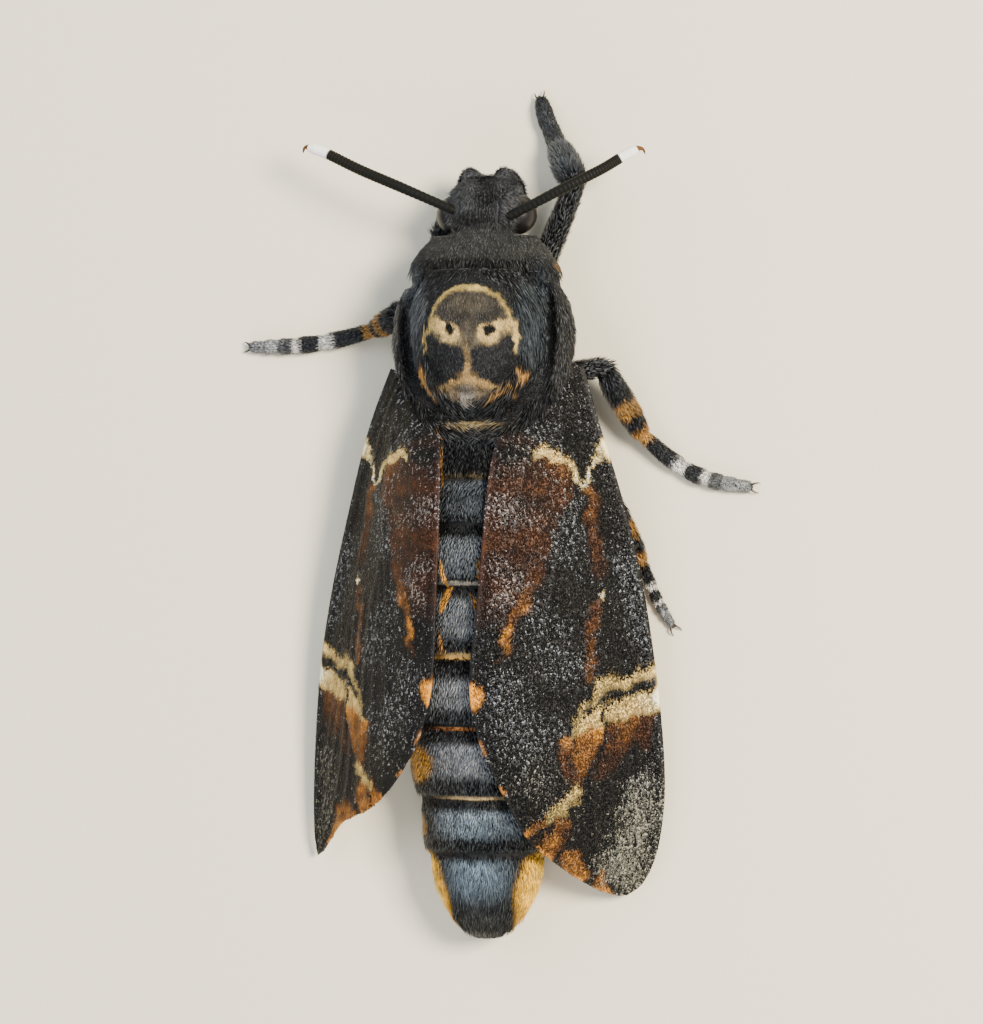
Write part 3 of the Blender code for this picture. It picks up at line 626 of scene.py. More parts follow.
points[:, 2] = np.maximum(points[:, 2], 0.03 * mm)
writePoints(skin.data, points)
allPath, allValue = (np.concatenate([course[i] for course in courses.values()]) for i in (0, 2))
legOf = np.zeros(len(points))
legOf[bodyCount:] = allValue[nearestKnot(points[bodyCount:] / mm, allPath)]
writeAttribute(skin.data, "place", points / mm)
writeAttribute(skin.data, "leg", legOf)
writeAttribute(skin.data, "flank", flankOf(points / mm))
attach(skin, "root")
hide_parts(*trunkNodes, *legNodes)
print("   skin has", len(skin.data.polygons), "faces")


print("wings")

# Outlines in plan, in mm, from root to tip.
wings = {
    "left": {
        "front": ((8.2, 12.4), (10.2, 7.2), (11.9, 1.3), (13.9, -6.4), (15.2, -13.4), (15.9, -21),
                  (16.1, -26.5), (15.9, -29.2)),
        "back": ((5, 11.4), (3.1, 8.2), (2.45, 4.6), (2.5, -1), (2.85, -7), (3.3, -13.8), (4.7, -18.6),
                 (6.4, -21.3), (8.1, -23.3), (10.2, -24.9), (12.9, -26.1), (15.4, -28.9)),
    },
    "right": {
        "front": ((8.35, 12.8), (9.7, 7.8), (11.3, 2.4), (12.9, -4.5), (13.9, -11.5), (14.5, -18),
                  (14.6, -23.5), (13.9, -28.1), (12.6, -30.9), (11.2, -32.05)),
        "back": ((5, 11.6), (2.9, 8.8), (1.9, 5.2), (1.3, -1), (0.65, -8), (-0.1, -14.2), (0.7, -19.2),
                 (2.2, -22.9), (4, -26.9), (5.8, -28.8), (8, -30.7), (9.6, -31.75), (10.7, -32.1)),
    },
}
# Where the left wing's knots lie on the right wing's plan, which holds the pattern for both.
leftOnRight = {
    "front": ((8.35, 12.8), (9.85, 7.2), (11.7, 0.8), (13.45, -8.2), (14.25, -15.2), (14.6, -23.3),
              (13.6, -29), (11.2, -32.05)),
    "back": ((5, 11.6), (2.8, 8.5), (1.85, 4.8), (1.3, -1), (0.7, -7.2), (-0.1, -14.2), (0.75, -19.4),
             (2, -22.4), (3.6, -26), (5.2, -28.2), (7.9, -30.6), (10.7, -32.1)),
}
hindWing = {
    "front": ((7.6, 9.5), (10, 1.5), (11.9, -6), (12.9, -13), (12.9, -19.5)),
    "back": ((6.9, 7.4), (7.2, 1), (7.4, -5), (7.7, -11.5), (9.2, -17.6), (12.3, -20.3)),
}
wingLook = {"inset": 0.003, "below": 0.16, "thick": 0.2, "hindThick": 0.15, "grid": (40, 16), "levels": 2,
            "rounds": 5, "vein": 0.085, "veinHalf": 0.2, "trough": 0.35}
mapLook = {"shift": (4, 40), "span": 60}  # a wing's plan on its UV map
# Veins of the right wing in plan, in mm, from root to edge.
veins = (
    ((7.6, 12), (10.3, 4), (12.3, -4.5), (13.6, -12)),
    ((7.2, 11.5), (9.3, 3), (10.1, -5), (12, -11), (14.2, -16.5)),
    ((10.1, -5), (12.3, -14), (14.3, -21.5)),
    ((10.2, -6.5), (12.1, -18), (13.9, -27)),
    ((10.2, -6.5), (11.4, -19), (12.8, -30)),
    ((9.9, -7), (10.3, -20), (11.2, -31.8)),
    ((9, -8), (9.2, -19), (9.3, -31.4)),
    ((8, -7.5), (8, -18), (7.3, -30.2)),
    ((7.1, -5.5), (6.7, -16), (5.6, -28.6)),
    ((6.8, 10.5), (7.4, 2), (7.3, -3.5), (7.9, -8.5)),
    ((7.2, -1.5), (5.4, -13), (4, -26.6)),
    ((5.6, 10.5), (4, 0), (2.7, -12), (1.9, -21.8)),
)
veinLines = [smoothLine(vein, np.linspace(0, 1, 30)) for vein in veins]


def cornersOf(mesh):
    # the vertex at each corner of each face
    corner = np.empty(len(mesh.loops), int)
    mesh.loops.foreach_get("vertex_index", corner)
    return corner


def wingSheet(kind, side, edges, reference):
    # a fine sheet over the CAD wing, its UV holding the same spot on the reference outline
    sign = sides[side]
    rows, columns = wingLook["grid"]
    deselectAll()
    bpy.ops.mesh.primitive_grid_add(x_subdivisions=rows, y_subdivisions=columns, size=1)
    sheet = bpy.context.object
    sheet.name = f"{kind}{side.title()}"
    grid = readPoints(sheet.data)
    inset = wingLook["inset"]
    s = np.sin((grid[:, 0] + 0.5) * math.pi / 2) * (1 - inset)
    t = inset * 0.5 + (grid[:, 1] + 0.5) * (1 - inset)
    first, second = smoothLine(edges["front"], s), smoothLine(edges["back"], s)
    plan = first + (second - first) * t[:, None]
    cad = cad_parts[f"{kind.lower()}_{side}"]
    tree = BVHTree.FromPolygons([v.co for v in cad.data.vertices], [p.vertices for p in cad.data.polygons])
    height = np.empty(len(plan))
    for i, (x, y) in enumerate(first + (second - first) * np.clip(t, 0.05, 0.95)[:, None]):
        hit = tree.ray_cast(Vector((sign * x * mm, y * mm, 0.05)), Vector((0, 0, -1)))
        if hit[0] is None:
            hit = tree.find_nearest(Vector((sign * x * mm, y * mm, 0.006)))
        height[i] = hit[0].z / mm
    around = [[] for _ in height]
    for edge in sheet.data.edges:
        a, b = edge.vertices
        around[a].append(b)
        around[b].append(a)
    for _ in range(wingLook["rounds"]):  # smoothed over the CAD model's facets
        height = np.array([0.5 * height[i] + 0.5 * height[near].mean() for i, near in enumerate(around)])
    writePoints(sheet.data, np.column_stack((sign * plan[:, 0], plan[:, 1], height - wingLook["below"])) * mm)
    first, second = smoothLine(reference["front"], s), smoothLine(reference["back"], s)
    spot = (first + (second - first) * t[:, None] + mapLook["shift"]) / mapLook["span"]
    sheet.data.uv_layers.active.data.foreach_set("uv", spot[cornersOf(sheet.data)].astype(np.float32).ravel())
    finer = sheet.modifiers.new("finer", "SUBSURF")
    finer.levels = finer.render_levels = wingLook["levels"]
    finer.boundary_smooth = "PRESERVE_CORNERS"
    applyModifiers(sheet)
    return sheet


def planOf(mesh):
    # the plan place that a vertex's UV holds, in mm
    uv = np.empty(len(mesh.loops) * 2)
    mesh.uv_layers.active.data.foreach_get("uv", uv)
    plan = np.empty((len(mesh.vertices), 2))
    plan[cornersOf(mesh)] = uv.reshape(-1, 2) * mapLook["span"] - mapLook["shift"]
    return plan


def finishWing(sheet, upper, under, thick):
    if readPoints(sheet.data, "normal")[:, 2].mean() < 0:
        sheet.data.flip_normals()
    sheet.data.materials.clear()
    sheet.data.materials.append(upper)
    sheet.data.materials.append(under)
    wall = sheet.modifiers.new("wall", "SOLIDIFY")
    wall.thickness = thick * mm
    wall.offset = -1
    wall.material_offset = 1
    wall.material_offset_rim = 0
    applyModifiers(sheet)
    bpy.ops.object.shade_smooth()
    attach(sheet, "root")


# The pattern of a forewing, on the right wing's plan in mm, as strokes: half width at start and end,
# tone at start and end (dark 0 to light 1), softness, and the knots of the stroke's line.
creamStrokes = [
    (0.26, 0.4, 0.75, 0.6, 0.3, (4.9, 5), (5.6, 5.6), (6.3, 5.5), (6.9, 4.9)),
    (0.34, 0.1, 0.6, 0.98, 0.4, (6.9, 5), (7.6, 4.5), (8, 3.7), (8.5, 2.9), (9, 2.9)),
    (0.12, 0.15, 0.95, 0.95, 0.4, (8.9, 2.9), (9.15, 3.8), (9.4, 4.8)),
    (0.28, 0.42, 0.8, 0.85, 0.3, (9.4, 4.9), (10.1, 5.5), (11, 5.4)),
    (0.36, 0.34, 0.6, 0.5, 0.5, (14.2, -13.3), (13, -13.5), (12, -13.9), (11.2, -14.1)),
    (0.42, 0.18, 0.5, 0.2, 0.6, (10.8, -13.8), (9.8, -14.6), (8.9, -15.8), (8.2, -17)),
    (0.72, 0.62, 0.72, 0.6, 0.3, (13.7, -15.4), (12.8, -15.9), (12, -15.8)),
    (0.8, 0.6, 1, 0.95, 0.4, (14.4, -14.9), (14, -15.2)),
    (0.7, 0.62, 0.6, 0.55, 0.3, (12, -15.8), (11.3, -16.3), (10.5, -16.2)),
    (0.66, 0.34, 0.62, 0.35, 0.4, (9.9, -16.6), (9.3, -17), (8.7, -17.5), (8.2, -18.2)),
    (0.36, 0.3, 0.45, 0.25, 0.5, (7.95, -22.7), (7.8, -23.4), (7.2, -24.1), (6.5, -24.7), (5.8, -25.2)),
]
rustStrokes = [
    (0.6, 0.5, 0.46, 0.24, 0.6, (6.9, 4.5), (7.2, 3.4), (7, 2)),
    (0.7, 0.5, 0.2, 0.12, 0.6, (7, 2), (6.5, 0), (6, -1.8)),
    (0.5, 0.4, 0.16, 0.45, 0.6, (6, -1.8), (5.4, -4.2), (4.8, -6.2), (4.3, -7.8)),
    (0.34, 0.28, 0.6, 0.25, 0.45, (4.1, -7.4), (3.45, -8.8), (2.9, -9.9), (2.4, -11.9)),
    (0.5, 0.58, 0.95, 0.78, 0.5, (3.25, -9.3), (2.7, -10.7)),
    (0.34, 0.46, 0.5, 0.18, 0.7, (9.1, 2.6), (9.3, 1.1), (9.5, -0.8), (9.7, -2.8), (9.9, -4.6)),
    (0.26, 0.36, 0.28, 0.55, 0.7, (9.5, -7.4), (9.3, -9.5), (9.15, -11.5), (9, -13.4)),
    (1, 0.5, 0.6, 0.05, 0.5, (11.9, -16.8), (11.3, -18.2), (10.6, -19.7), (9.8, -21.4)),
    (0.86, 0.42, 0.78, 0.3, 0.4, (9.4, -17.6), (8.9, -19.4), (8.4, -20.8), (7.9, -22.4)),
    (0.45, 0.35, 0.32, 0.12, 0.6, (13.1, -16.4), (12.9, -17.8), (12.8, -19.4)),
    (0.5, 0.28, 0.68, 0.2, 0.5, (7.7, -18.6), (7.4, -20), (7.2, -21.6)),
    (0.36, 0.3, 0.85, 0.55, 0.35, (3.9, -26.8), (4.8, -25.9), (5.7, -25)),
    (1, 0.72, 0.82, 0.45, 0.35, (5.4, -28.3), (6, -27.3), (6.6, -26.3), (7.1, -25.6)),
    (0.3, 0.28, 0.5, 0.2, 0.5, (6.3, -28.2), (7, -26.8), (7.4, -25.9)),
    (1, 0.6, 0.85, 0.6, 0.4, (7.5, -30.1), (7.6, -28.4)),
    (0.75, 0.5, 0.85, 0.55, 0.45, (9.5, -31.7), (9.6, -30.2)),
    (0.32, 0.18, 0.75, 0.6, 0.4, (0.8, -19), (1.1, -19.8)),
    (0.3, 0.2, 0.75, 0.6, 0.4, (2.1, -22.5), (2.7, -23.1)),
    (0.5, 0.5, 0.2, 0.2, 0.6, (2.4, 2.9), (4.2, 2.6), (6, 2.4)),
    (0.6, 0.5, 0.24, 0.2, 0.6, (1.8, -1.7), (3.6, -1.9), (5.4, -1.8)),
]
# Marks that only the left wing has, or has wider.
leftRust = [
    (1.2, 1.45, 0.8, 0.6, 0.35, (5.2, -27.8), (6.6, -25.6)),
    (1.55, 1.3, 0.82, 0.6, 0.4, (8.2, -30.4), (9, -28.2)),
    (0.85, 0.45, 0.5, 0.12, 0.5, (12.2, -16.9), (12.1, -18.4), (11.9, -20.4)),
    (0.7, 0.6, 0.6, 0.35, 0.5, (8.4, -19.2), (7.9, -21), (7.6, -22.6)),
]
# Two marks that no cloud breaks up: the salmon wedge on the inner edge and the white dot in mid wing.
salmonWedge = (0.98, 0.28, 1, 0.9, 0.12, (0.35, -14.95), (0.4, -15.3), (0.2, -16.1))
whiteDot = (0.2, 0.2, 1, 1, 0.25, (9.98, -6.45), (10.04, -6.55))
blackStrokes = [
    (0.75, 0.22, 0, 0, 0.3, (7.7, 6.6), (8.3, 5.4), (8.65, 4.2)),
    (0.16, 0.1, 0, 0, 0.4, (13.8, -14.3), (12.6, -14.45), (11.6, -14.9), (10.6, -15.15), (9.6, -15.7),
     (8.8, -16.7)),
    (0.14, 0.2, 0, 0, 0.5, (10.6, -15.6), (10.25, -16.6), (10, -18), (9.9, -20)),
    (0.08, 0.08, 0, 0, 0.4, (4.7, -27.7), (5.3, -26.8), (6, -25.8)),
    (0.9, 0.7, 0, 0, 0.6, (2.6, 5.4), (4.2, 5.2)),
    (0.7, 0.6, 0, 0, 0.4, (2.2, -9.6), (2.3, -11.2)),
]
# How thickly the pale scales are strewn, which also stand for painted glints: tone 1 is thick, 0 is none.
dustStrokes = [
    (0.9, 0.7, 1, 0.95, 0.6, (2.4, 0.7), (3.4, 0.2), (4.8, -0.4)),
    (0.9, 0.9, 0.95, 1, 0.6, (2.6, -4.2), (3.9, -5.8), (2.4, -7.4)),
    (0.7, 0.8, 0.85, 0.8, 0.6, (8.2, 1.4), (7.9, -1.2), (7.2, -3.6)),
    (1.2, 1.5, 0.8, 0.75, 0.7, (5, -8), (6.2, -10.4), (7.6, -12.6)),
    (0.8, 0.9, 0.95, 0.85, 0.7, (11.6, -4), (12.3, -7), (12.9, -10.6)),
    (1.2, 1.8, 1.1, 1.6, 0.9, (11.3, -21.6), (12.6, -22.8), (12.4, -26), (11.2, -29.4)),
    (1.6, 1.3, 0.9, 0.8, 0.85, (2.4, -14.6), (4.6, -18.6), (5.4, -22)),
    (1.4, 1.2, 0.34, 0.44, 0.6, (5, 9.6), (6.8, 8.6), (8.4, 9.4)),
    (0.9, 0.8, 0.66, 0.75, 0.7, (6.2, 3.6), (6.9, 1.6)),
    (0.55, 0.55, 0.1, 0.15, 0.4, (2.4, 2.9), (4.2, 2.6), (6, 2.4)),
    (0.7, 0.6, 0.1, 0.15, 0.4, (1.8, -1.7), (3.6, -1.9), (5.4, -1.8)),
    (0.8, 0.7, 0.2, 0.2, 0.5, (7.4, -5.4), (6.6, -6.9)),
    (0.6, 0.6, 0.25, 0.25, 0.5, (7.9, -7.2), (9, -9.4)),
    (0.5, 0.9, 0.25, 0.2, 0.5, (10.6, 3), (11.4, -1.6)),
    (0.8, 0.6, 0.1, 0.1, 0.5, (11.6, -20.9), (10.2, -23.6), (8.8, -26.4), (8.2, -28.2)),
    (0.7, 0.3, 0.1, 0.1, 0.4, (7.7, 6.6), (8.3, 5.4), (8.65, 4.2)),
    (0.6, 0.6, 0.05, 0.05, 0.4, (4, -8), (3.4, -9.4), (2.8, -11.2)),
    (1.1, 0.9, 0.05, 0.1, 0.4, (9, -17.6), (8.3, -21.4)),
    (1.2, 0.9, 0.05, 0.1, 0.4, (12.2, -16.4), (10, -21.2)),
    (0.9, 0.7, 0.05, 0.1, 0.4, (5.4, -27.8), (6.8, -25.4)),
    (0.5, 0.5, 0.2, 0.15, 0.5, (9.2, 1.5), (9.8, -4.4)),
]
chestnutEdge = {"y": (-13, -11.4, -9.9, -7.6, -4.4, -1.8, 0.5, 3.2, 5.2, 7, 8.4),
                "x": (1.6, 2.6, 3.4, 4.5, 5.6, 6.3, 7.2, 7.6, 6.4, 3.4, 1.4)}


def cloudy(plan, scale, seed):
    # smooth random values from -1 to 1, a new one every 1/scale mm
    lattice = np.random.default_rng(seed).random((128, 128)) * 2 - 1
    where = plan * scale + 64
    i = np.floor(where).astype(int)
    f = ease(where - i)
    i, j = i[:, 0] % 127, i[:, 1] % 127
    low = lattice[i, j] * (1 - f[:, 0]) + lattice[i + 1, j] * f[:, 0]
    high = lattice[i, j + 1] * (1 - f[:, 0]) + lattice[i + 1, j + 1] * f[:, 0]
    return low * (1 - f[:, 1]) + high * f[:, 1]


def clouds(plan, level, *waves):
    # a level with waves on it, each with its height, scale and seed
    for height, scale, seed in waves:
        level = level + height * cloudy(plan, scale, seed)
    return level


def strokeOver(plan, strokes, mask, tone):
    # later strokes lie over earlier ones
    for startHalf, endHalf, startTone, endTone, soft, *knots in strokes:
        line = np.asarray(knots, float)
        reach, share = np.full(len(plan), 99.0), np.zeros(len(plan))
        for k, (a, b) in enumerate(zip(line[:-1], line[1:])):
            run = b - a
            f = np.clip(((plan - a) @ run) / (run @ run), 0, 1)
            s = (k + f) / (len(line) - 1)
            far = np.linalg.norm(plan - a - f[:, None] * run, axis=1) / (startHalf + (endHalf - startHalf) * s)
            nearer = far < reach
            reach, share = np.where(nearer, far, reach), np.where(nearer, s, share)
        cover = ease(np.clip((1 + soft - reach) / (2 * soft), 0, 1))
        tone = tone * (1 - cover) + (startTone + (endTone - startTone) * share) * cover
        mask = np.maximum(mask, cover)
    return mask, tone


def wingPattern(plan, side):
    # how much of each scale colour there is at each place on the wing
    where = plan + np.column_stack([clouds(plan, 0, (0.35, 0.8, 21 + k), (0.24, 2.3, 23 + k)) for k in (0, 1)])
    none = np.zeros(len(plan))
    cream, creamTone = strokeOver(where, creamStrokes, none, none + 0.5)
    cream *= np.clip(clouds(plan, 1, (0.3, 1.7, 31), (0.25, 4, 32)), 0, 1)
    cream, creamTone = strokeOver(plan, [whiteDot], cream, creamTone)
    rust, rustTone = strokeOver(where, rustStrokes + (leftRust if side == "left" else []), none, none + 0.3)
    rust *= np.clip(clouds(plan, 1.05, (0.3, 1.3, 33), (0.3, 3.6, 34)), 0, 1)
    rustTone = np.clip(clouds(plan, rustTone, (0.16, 2.2, 35)), 0, 1)
    wedge, _ = strokeOver(plan, [salmonWedge], none, none)
    rust, rustTone = strokeOver(plan, [salmonWedge], rust, rustTone)
    black, _ = strokeOver(where, blackStrokes, none, none)
    field = np.interp(where[:, 1], chestnutEdge["y"], chestnutEdge["x"]) - where[:, 0]
    field = np.clip((field + 0.3) / 0.8, 0, 1)
    field *= np.clip((where[:, 1] + 9.6) / 2.2, 0, 1) * np.clip((7.6 - where[:, 1]) / 2.2, 0, 1)
    field *= np.clip(clouds(plan, 0.75, (0.45, 0.9, 25), (0.2, 2.6, 28)), 0, 1)
    base = np.clip(clouds(plan, 0.42, (0.3, 0.33, 26), (0.18, 0.9, 27)), 0, 1)
    _, dust = strokeOver(where, dustStrokes, none, base)
    dust *= (1 - 0.75 * cream) * (1 - wedge)
    if side == "left":  # painted shade: the left wing, which faces away from the light, has fewer pale scales, fewer still towards the tip
        dust *= np.interp(plan[:, 1], (-26, -18), (0.5, 0.95))
    return {"cream": cream, "creamTone": creamTone, "rust": rust, "rustTone": rustTone,
            "black": black, "chestnut": field, "dust": dust}


rustRamp = ((0, "#1e120b"), (0.3, "#43240f"), (0.55, "#744a1e"), (0.78, "#a86e2c"), (1, "#dc922e"))
creamRamp = ((0, "#6a5d3a"), (0.3, "#ac9658"), (0.6, "#e2c076"), (0.8, "#f0dc9e"), (1, "#fbf6e4"))


def wingColour(tree):
    place = addNode(tree, "Attribute", attribute_name="place").outputs["Vector"]
    part = {name: addNode(tree, "Attribute", attribute_name=name).outputs["Fac"]
            for name in ("vein", "cream", "creamTone", "rust", "rustTone", "black", "chestnut", "dust")}
    # ground: nearly black, browner in soft clouds
    colour = addNode(tree, "Mix", addNode(tree, "TexNoise", place, 0.5, 4), "#08090b", "#191614")
    brown = addNode(tree, "Mix", addNode(tree, "TexNoise", place, 1, 4), "#1a0d07", "#42210f")
    colour = addNode(tree, "Mix", part["chestnut"], colour, brown)
    rust = ramp(tree, rustRamp, part["rustTone"])
    colour = addNode(tree, "Mix", part["rust"], colour, rust)
    cream = ramp(tree, creamRamp, part["creamTone"])
    colour = addNode(tree, "Mix", part["cream"], colour, cream)
    colour = addNode(tree, "Mix", part["black"], colour, "#070707")
    onVein = addNode(tree, "MapRange", part["vein"], 0.04, 0.15, 0.55, 1)
    colour = addNode(tree, "VectorMath", colour, onVein, operation="SCALE")
    # pale scales strewn singly over the dark ones, 0.15 to 0.3 mm across; their lightness is partly their own
    # colour and partly painted glint
    dots = addNode(tree, "TexNoise", place, 3.9, 2, 0.75)
    where = addNode(tree, "Math", part["dust"], 0.15, dots, operation="MULTIPLY_ADD")
    strewn = addNode(tree, "MapRange", where, 0.665, 0.725, 0, 0.8)
    pale = addNode(tree, "Mix", addNode(tree, "TexNoise", place, 2.1), "#4e5357", "#b1b5b9")
    pale = addNode(tree, "Mix", part["chestnut"], pale, "#948880")
    # the pale scales are olive towards the tip
    y = addNode(tree, "SeparateXYZ", place).outputs["Y"]
    olive = addNode(tree, "MapRange", y, -18, -24, 0, 0.8)
    pale = addNode(tree, "Mix", olive, pale, "#9a9580")
    return addNode(tree, "Mix", strewn, colour, pale), place


# no painted highlight on the tips here: the strewn pale scales carry the wing's painted glints
wingScaleFur = furMaterial("wingScales", wingColour, 0.7, 1.3, 0)
# The membrane under the scales, with scale rows 0.14 mm apart.
upperWing, tree, shader = newMaterial("upperWing")
colour, place = wingColour(tree)
wingShine = {"Roughness": 0.55, "Specular IOR Level": 0.2}
finishShader(tree, shader, colour, wingShine, (place, 7, 0.8, 0.35, 0.0001))

# The underside is ochre yellow with two dark bands; the hindwings are the same on both sides.
underLook = {"ground": "#c08a34", "dark": "#2a1b10", "bands": ((-19, 0.9), (-24.5, 1.6))}
hindLook = {"ground": "#cf9430", "dark": "#1d130c", "bands": ((-12.5, 1), (-17.5, 1.5))}


def yellowWing(name, look):
    material, tree, shader = newMaterial(name)
    place = addNode(tree, "Attribute", attribute_name="place").outputs["Vector"]
    vein = addNode(tree, "Attribute", attribute_name="vein").outputs["Fac"]
    wobble = addNode(tree, "TexNoise", place, 0.8, 4)
    y = addNode(tree, "SeparateXYZ", place).outputs["Y"]
    ragged = addNode(tree, "Math", wobble, 2, y, operation="MULTIPLY_ADD")
    colour = addNode(tree, "Mix", wobble, look["ground"], "#8a5f26")
    for centre, half in look["bands"]:
        off = addNode(tree, "Math", ragged, centre + 1, operation="SUBTRACT")
        far = addNode(tree, "Math", off, operation="ABSOLUTE")
        mask = addNode(tree, "MapRange", far, half * 1.3, half * 0.8)
        colour = addNode(tree, "Mix", mask, colour, look["dark"])
    ribbed = addNode(tree, "MapRange", vein, 0.25, 0.08, 0, 0.6)
    colour = addNode(tree, "Mix", ribbed, colour, look["dark"])
    finishShader(tree, shader, colour, {"Roughness": 0.6}, (place, 6, 1, 0.3, 0.0001))
    return material


underWing = yellowWing("underWing", underLook)
hindMaterial = yellowWing("hindWing", hindLook)

sheets = {}
for side in sides:
    sheet = wingSheet("forewing", side, wings[side], leftOnRight if side == "left" else wings["right"])
    plan = planOf(sheet.data)
    away = np.min([lineDistance(plan, line) for line in veinLines], axis=0)
    points, normals = readPoints(sheet.data), readPoints(sheet.data, "normal")
    if normals[:, 2].mean() < 0:
        normals = -normals
    # ridges on the veins, shallow troughs between them
    raised = wingLook["vein"] * (np.exp(-(away / wingLook["veinHalf"]) ** 2) - wingLook["trough"])
    writePoints(sheet.data, points + normals * raised[:, None] * mm)
    writeAttribute(sheet.data, "place", np.column_stack((plan, np.zeros(len(plan)))))
    writeAttribute(sheet.data, "vein", away)
    for name, values in wingPattern(plan, side).items():
        writeAttribute(sheet.data, name, values)
    sheets[side] = {"points": readPoints(sheet.data) / mm, "normals": normals, "plan": plan, "vein": away,
                    "faces": np.array([p.vertices[:] for p in sheet.data.polygons])}
    finishWing(sheet, upperWing, underWing, wingLook["thick"])
    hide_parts(f"forewing_{side}")
    hind = wingSheet("hindwing", side, hindWing, hindWing)
    plan = planOf(hind.data)
    # folds fan out every 0.94 mm from the root
    fan = np.minimum(np.abs(((plan[:, 0] - 6.5) * 1.7 + 0.25 * np.sin(plan[:, 1])) % 1.6 - 0.8), 0.8)
    writeAttribute(hind.data, "place", np.column_stack((plan, np.zeros(len(plan)))))
    writeAttribute(hind.data, "vein", fan)
    finishWing(hind, hindMaterial, hindMaterial, wingLook["hindThick"])
    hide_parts(f"hindwing_{side}")
    print("   ", side, "wing has", len(sheet.data.polygons), "faces")


print("eyes, feelers, tongue and claws")


def hardMaterial(name, mottle, dark, light, values, grain=()):
    material, tree, shader = newMaterial(name)
    place = addNode(tree, "TexCoord").outputs["Object"]
    colour = addNode(tree, "Mix", addNode(tree, "TexNoise", place, mottle, 2), dark, light)
    finishShader(tree, shader, colour, values, grain and (place, *grain))
    return material


# A compound eye is a polished dark brown dome of facets too small to see singly, 0.07 mm across.
eyeShine = {"Roughness": 0.33, "IOR": 1.45, "Specular IOR Level": 0.35}
eyeMaterial = hardMaterial("compoundEye", 700, "#090909", "#211d1e", eyeShine, (14000, 0.15, 0.18, 0.00003))
# Horn: hardened chitin, dark and polished, mottled every 0.4 mm.
hornMaterial = hardMaterial("darkHorn", 2500, "#1a0d07", "#3d2415", {"Roughness": 0.3, "IOR": 1.56})

eye = {"centre": (2.66, 25.28, 5.4), "radius": 1.68}
for side, sign in sides.items():
    deselectAll()
    bpy.ops.mesh.primitive_ico_sphere_add(subdivisions=5, radius=eye["radius"] * mm)
    ball = bpy.context.object
    ball.name = f"eye{side.title()}"
    x, y, z = eye["centre"]
    ball.data.transform(Matrix.Translation(Vector((sign * x, y, z)) * mm))
    bpy.ops.object.shade_smooth()
    ball.data.materials.append(eyeMaterial)
    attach(ball, "root")
    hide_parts(f"eye_{side}")

# Feelers: a comb of about 45 short segments, dark, the last stretch white above, with a fine hook.
feelers = {
    "left": ((2.2, 25.5, 7.9), (6.9, 27.55, 7.8), (10.55, 29.1, 7.2), (13.8, 30.65, 6.4), (15.3, 31.15, 6.1)),
    "right": ((2.4, 24.9, 7.9), (6.9, 27.05, 8.3), (10.2, 28.7, 7.8), (12, 29.8, 7.35), (13.2, 30.45, 7.1)),
}
feelerLook = {"segments": 46, "rows": 6, "radius": 0.48, "hook": (0.62, -0.5, -0.3), "hookBow": (0.12, 0.25, 0),
              "hookHalf": (0.2, 0.15, 0.12, 0.09, 0)}
feelerMaterial, tree, shader = newMaterial("feelerHorn")
along = addNode(tree, "Attribute", attribute_name="along").outputs["Fac"]
topness = addNode(tree, "Attribute", attribute_name="top").outputs["Fac"]
nearTip = addNode(tree, "MapRange", along, 0.71, 0.725)
onTop = addNode(tree, "MapRange", topness, -0.3, 0.1)
white = addNode(tree, "Math", nearTip, onTop, operation="MULTIPLY")
ringed = addNode(tree, "Attribute", attribute_name="ring").outputs["Fac"]
rim = addNode(tree, "MapRange", ringed, 0.84, 0.97)  # the pale rim of each segment, 0.3 mm apart
colour = addNode(tree, "Mix", white, addNode(tree, "Mix", rim, "#090906", "#453820"), "#f4f1ea")
hooked = addNode(tree, "MapRange", along, 0.995, 1)
colour = addNode(tree, "Mix", hooked, colour, "#5a3a1c")
finishShader(tree, shader, colour, {"Roughness": 0.6, "Specular IOR Level": 0.15})
for side, sign in sides.items():
    share = np.linspace(0, 1, feelerLook["segments"] * feelerLook["rows"])
    rod = smoothLine(feelers[side], share)
    tooth = (share * feelerLook["segments"]) % 1
    size = feelerLook["radius"] * (0.85 + 0.15 * np.minimum(1, share * 4)) * (0.88 + 0.12 * tooth)
    size *= np.interp(share, (0, 0.9, 1), (1, 1, 0.72))
    hook, bow = np.array(feelerLook["hook"]), np.array(feelerLook["hookBow"])
    bent = np.array([rod[-1] + hook * f + bow * math.sin(math.pi * f) for f in (0.2, 0.4, 0.6, 0.8, 1)])
    path = np.concatenate((rod[:1] - (rod[1:2] - rod[:1]), rod, bent)) * (sign, 1, 1)
    piece = rolledTube(f"feeler{side.title()}", path, np.concatenate(([0], size, feelerLook["hookHalf"])), 14)
    points = readPoints(piece.data) / mm
    nearest = nearestKnot(points, path)
    writeAttribute(piece.data, "along", nearest / (len(path) - 6))
    writeAttribute(piece.data, "top", (points[:, 2] - path[nearest, 2]) / 0.4)
    writeAttribute(piece.data, "ring", np.concatenate(([0], tooth, np.zeros(5)))[nearest])
    piece.data.materials.append(feelerMaterial)
    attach(piece, "root")
    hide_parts(f"antenna_{side}")

tongue = {"y": 26.6, "z": 2.3, "turns": 2.3, "outer": 0.82, "inner": 0.22, "half": (0.2, 0.12), "steps": 90,
          "sway": 0.02}
share = np.linspace(0, 1, tongue["steps"])
angle = share * tongue["turns"] * 2 * math.pi
reach = tongue["outer"] + (tongue["inner"] - tongue["outer"]) * share
coil = np.column_stack((tongue["sway"] * np.sin(angle), tongue["y"] + reach * np.cos(angle),
                        tongue["z"] - reach * np.sin(angle)))
radii = np.concatenate(([0], np.linspace(*tongue["half"], tongue["steps"] - 2), [0]))
tonguePiece = rolledTube("tongue", coil, radii, 10)
tonguePiece.data.materials.append(hornMaterial)
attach(tonguePiece, "root")
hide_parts("proboscis")

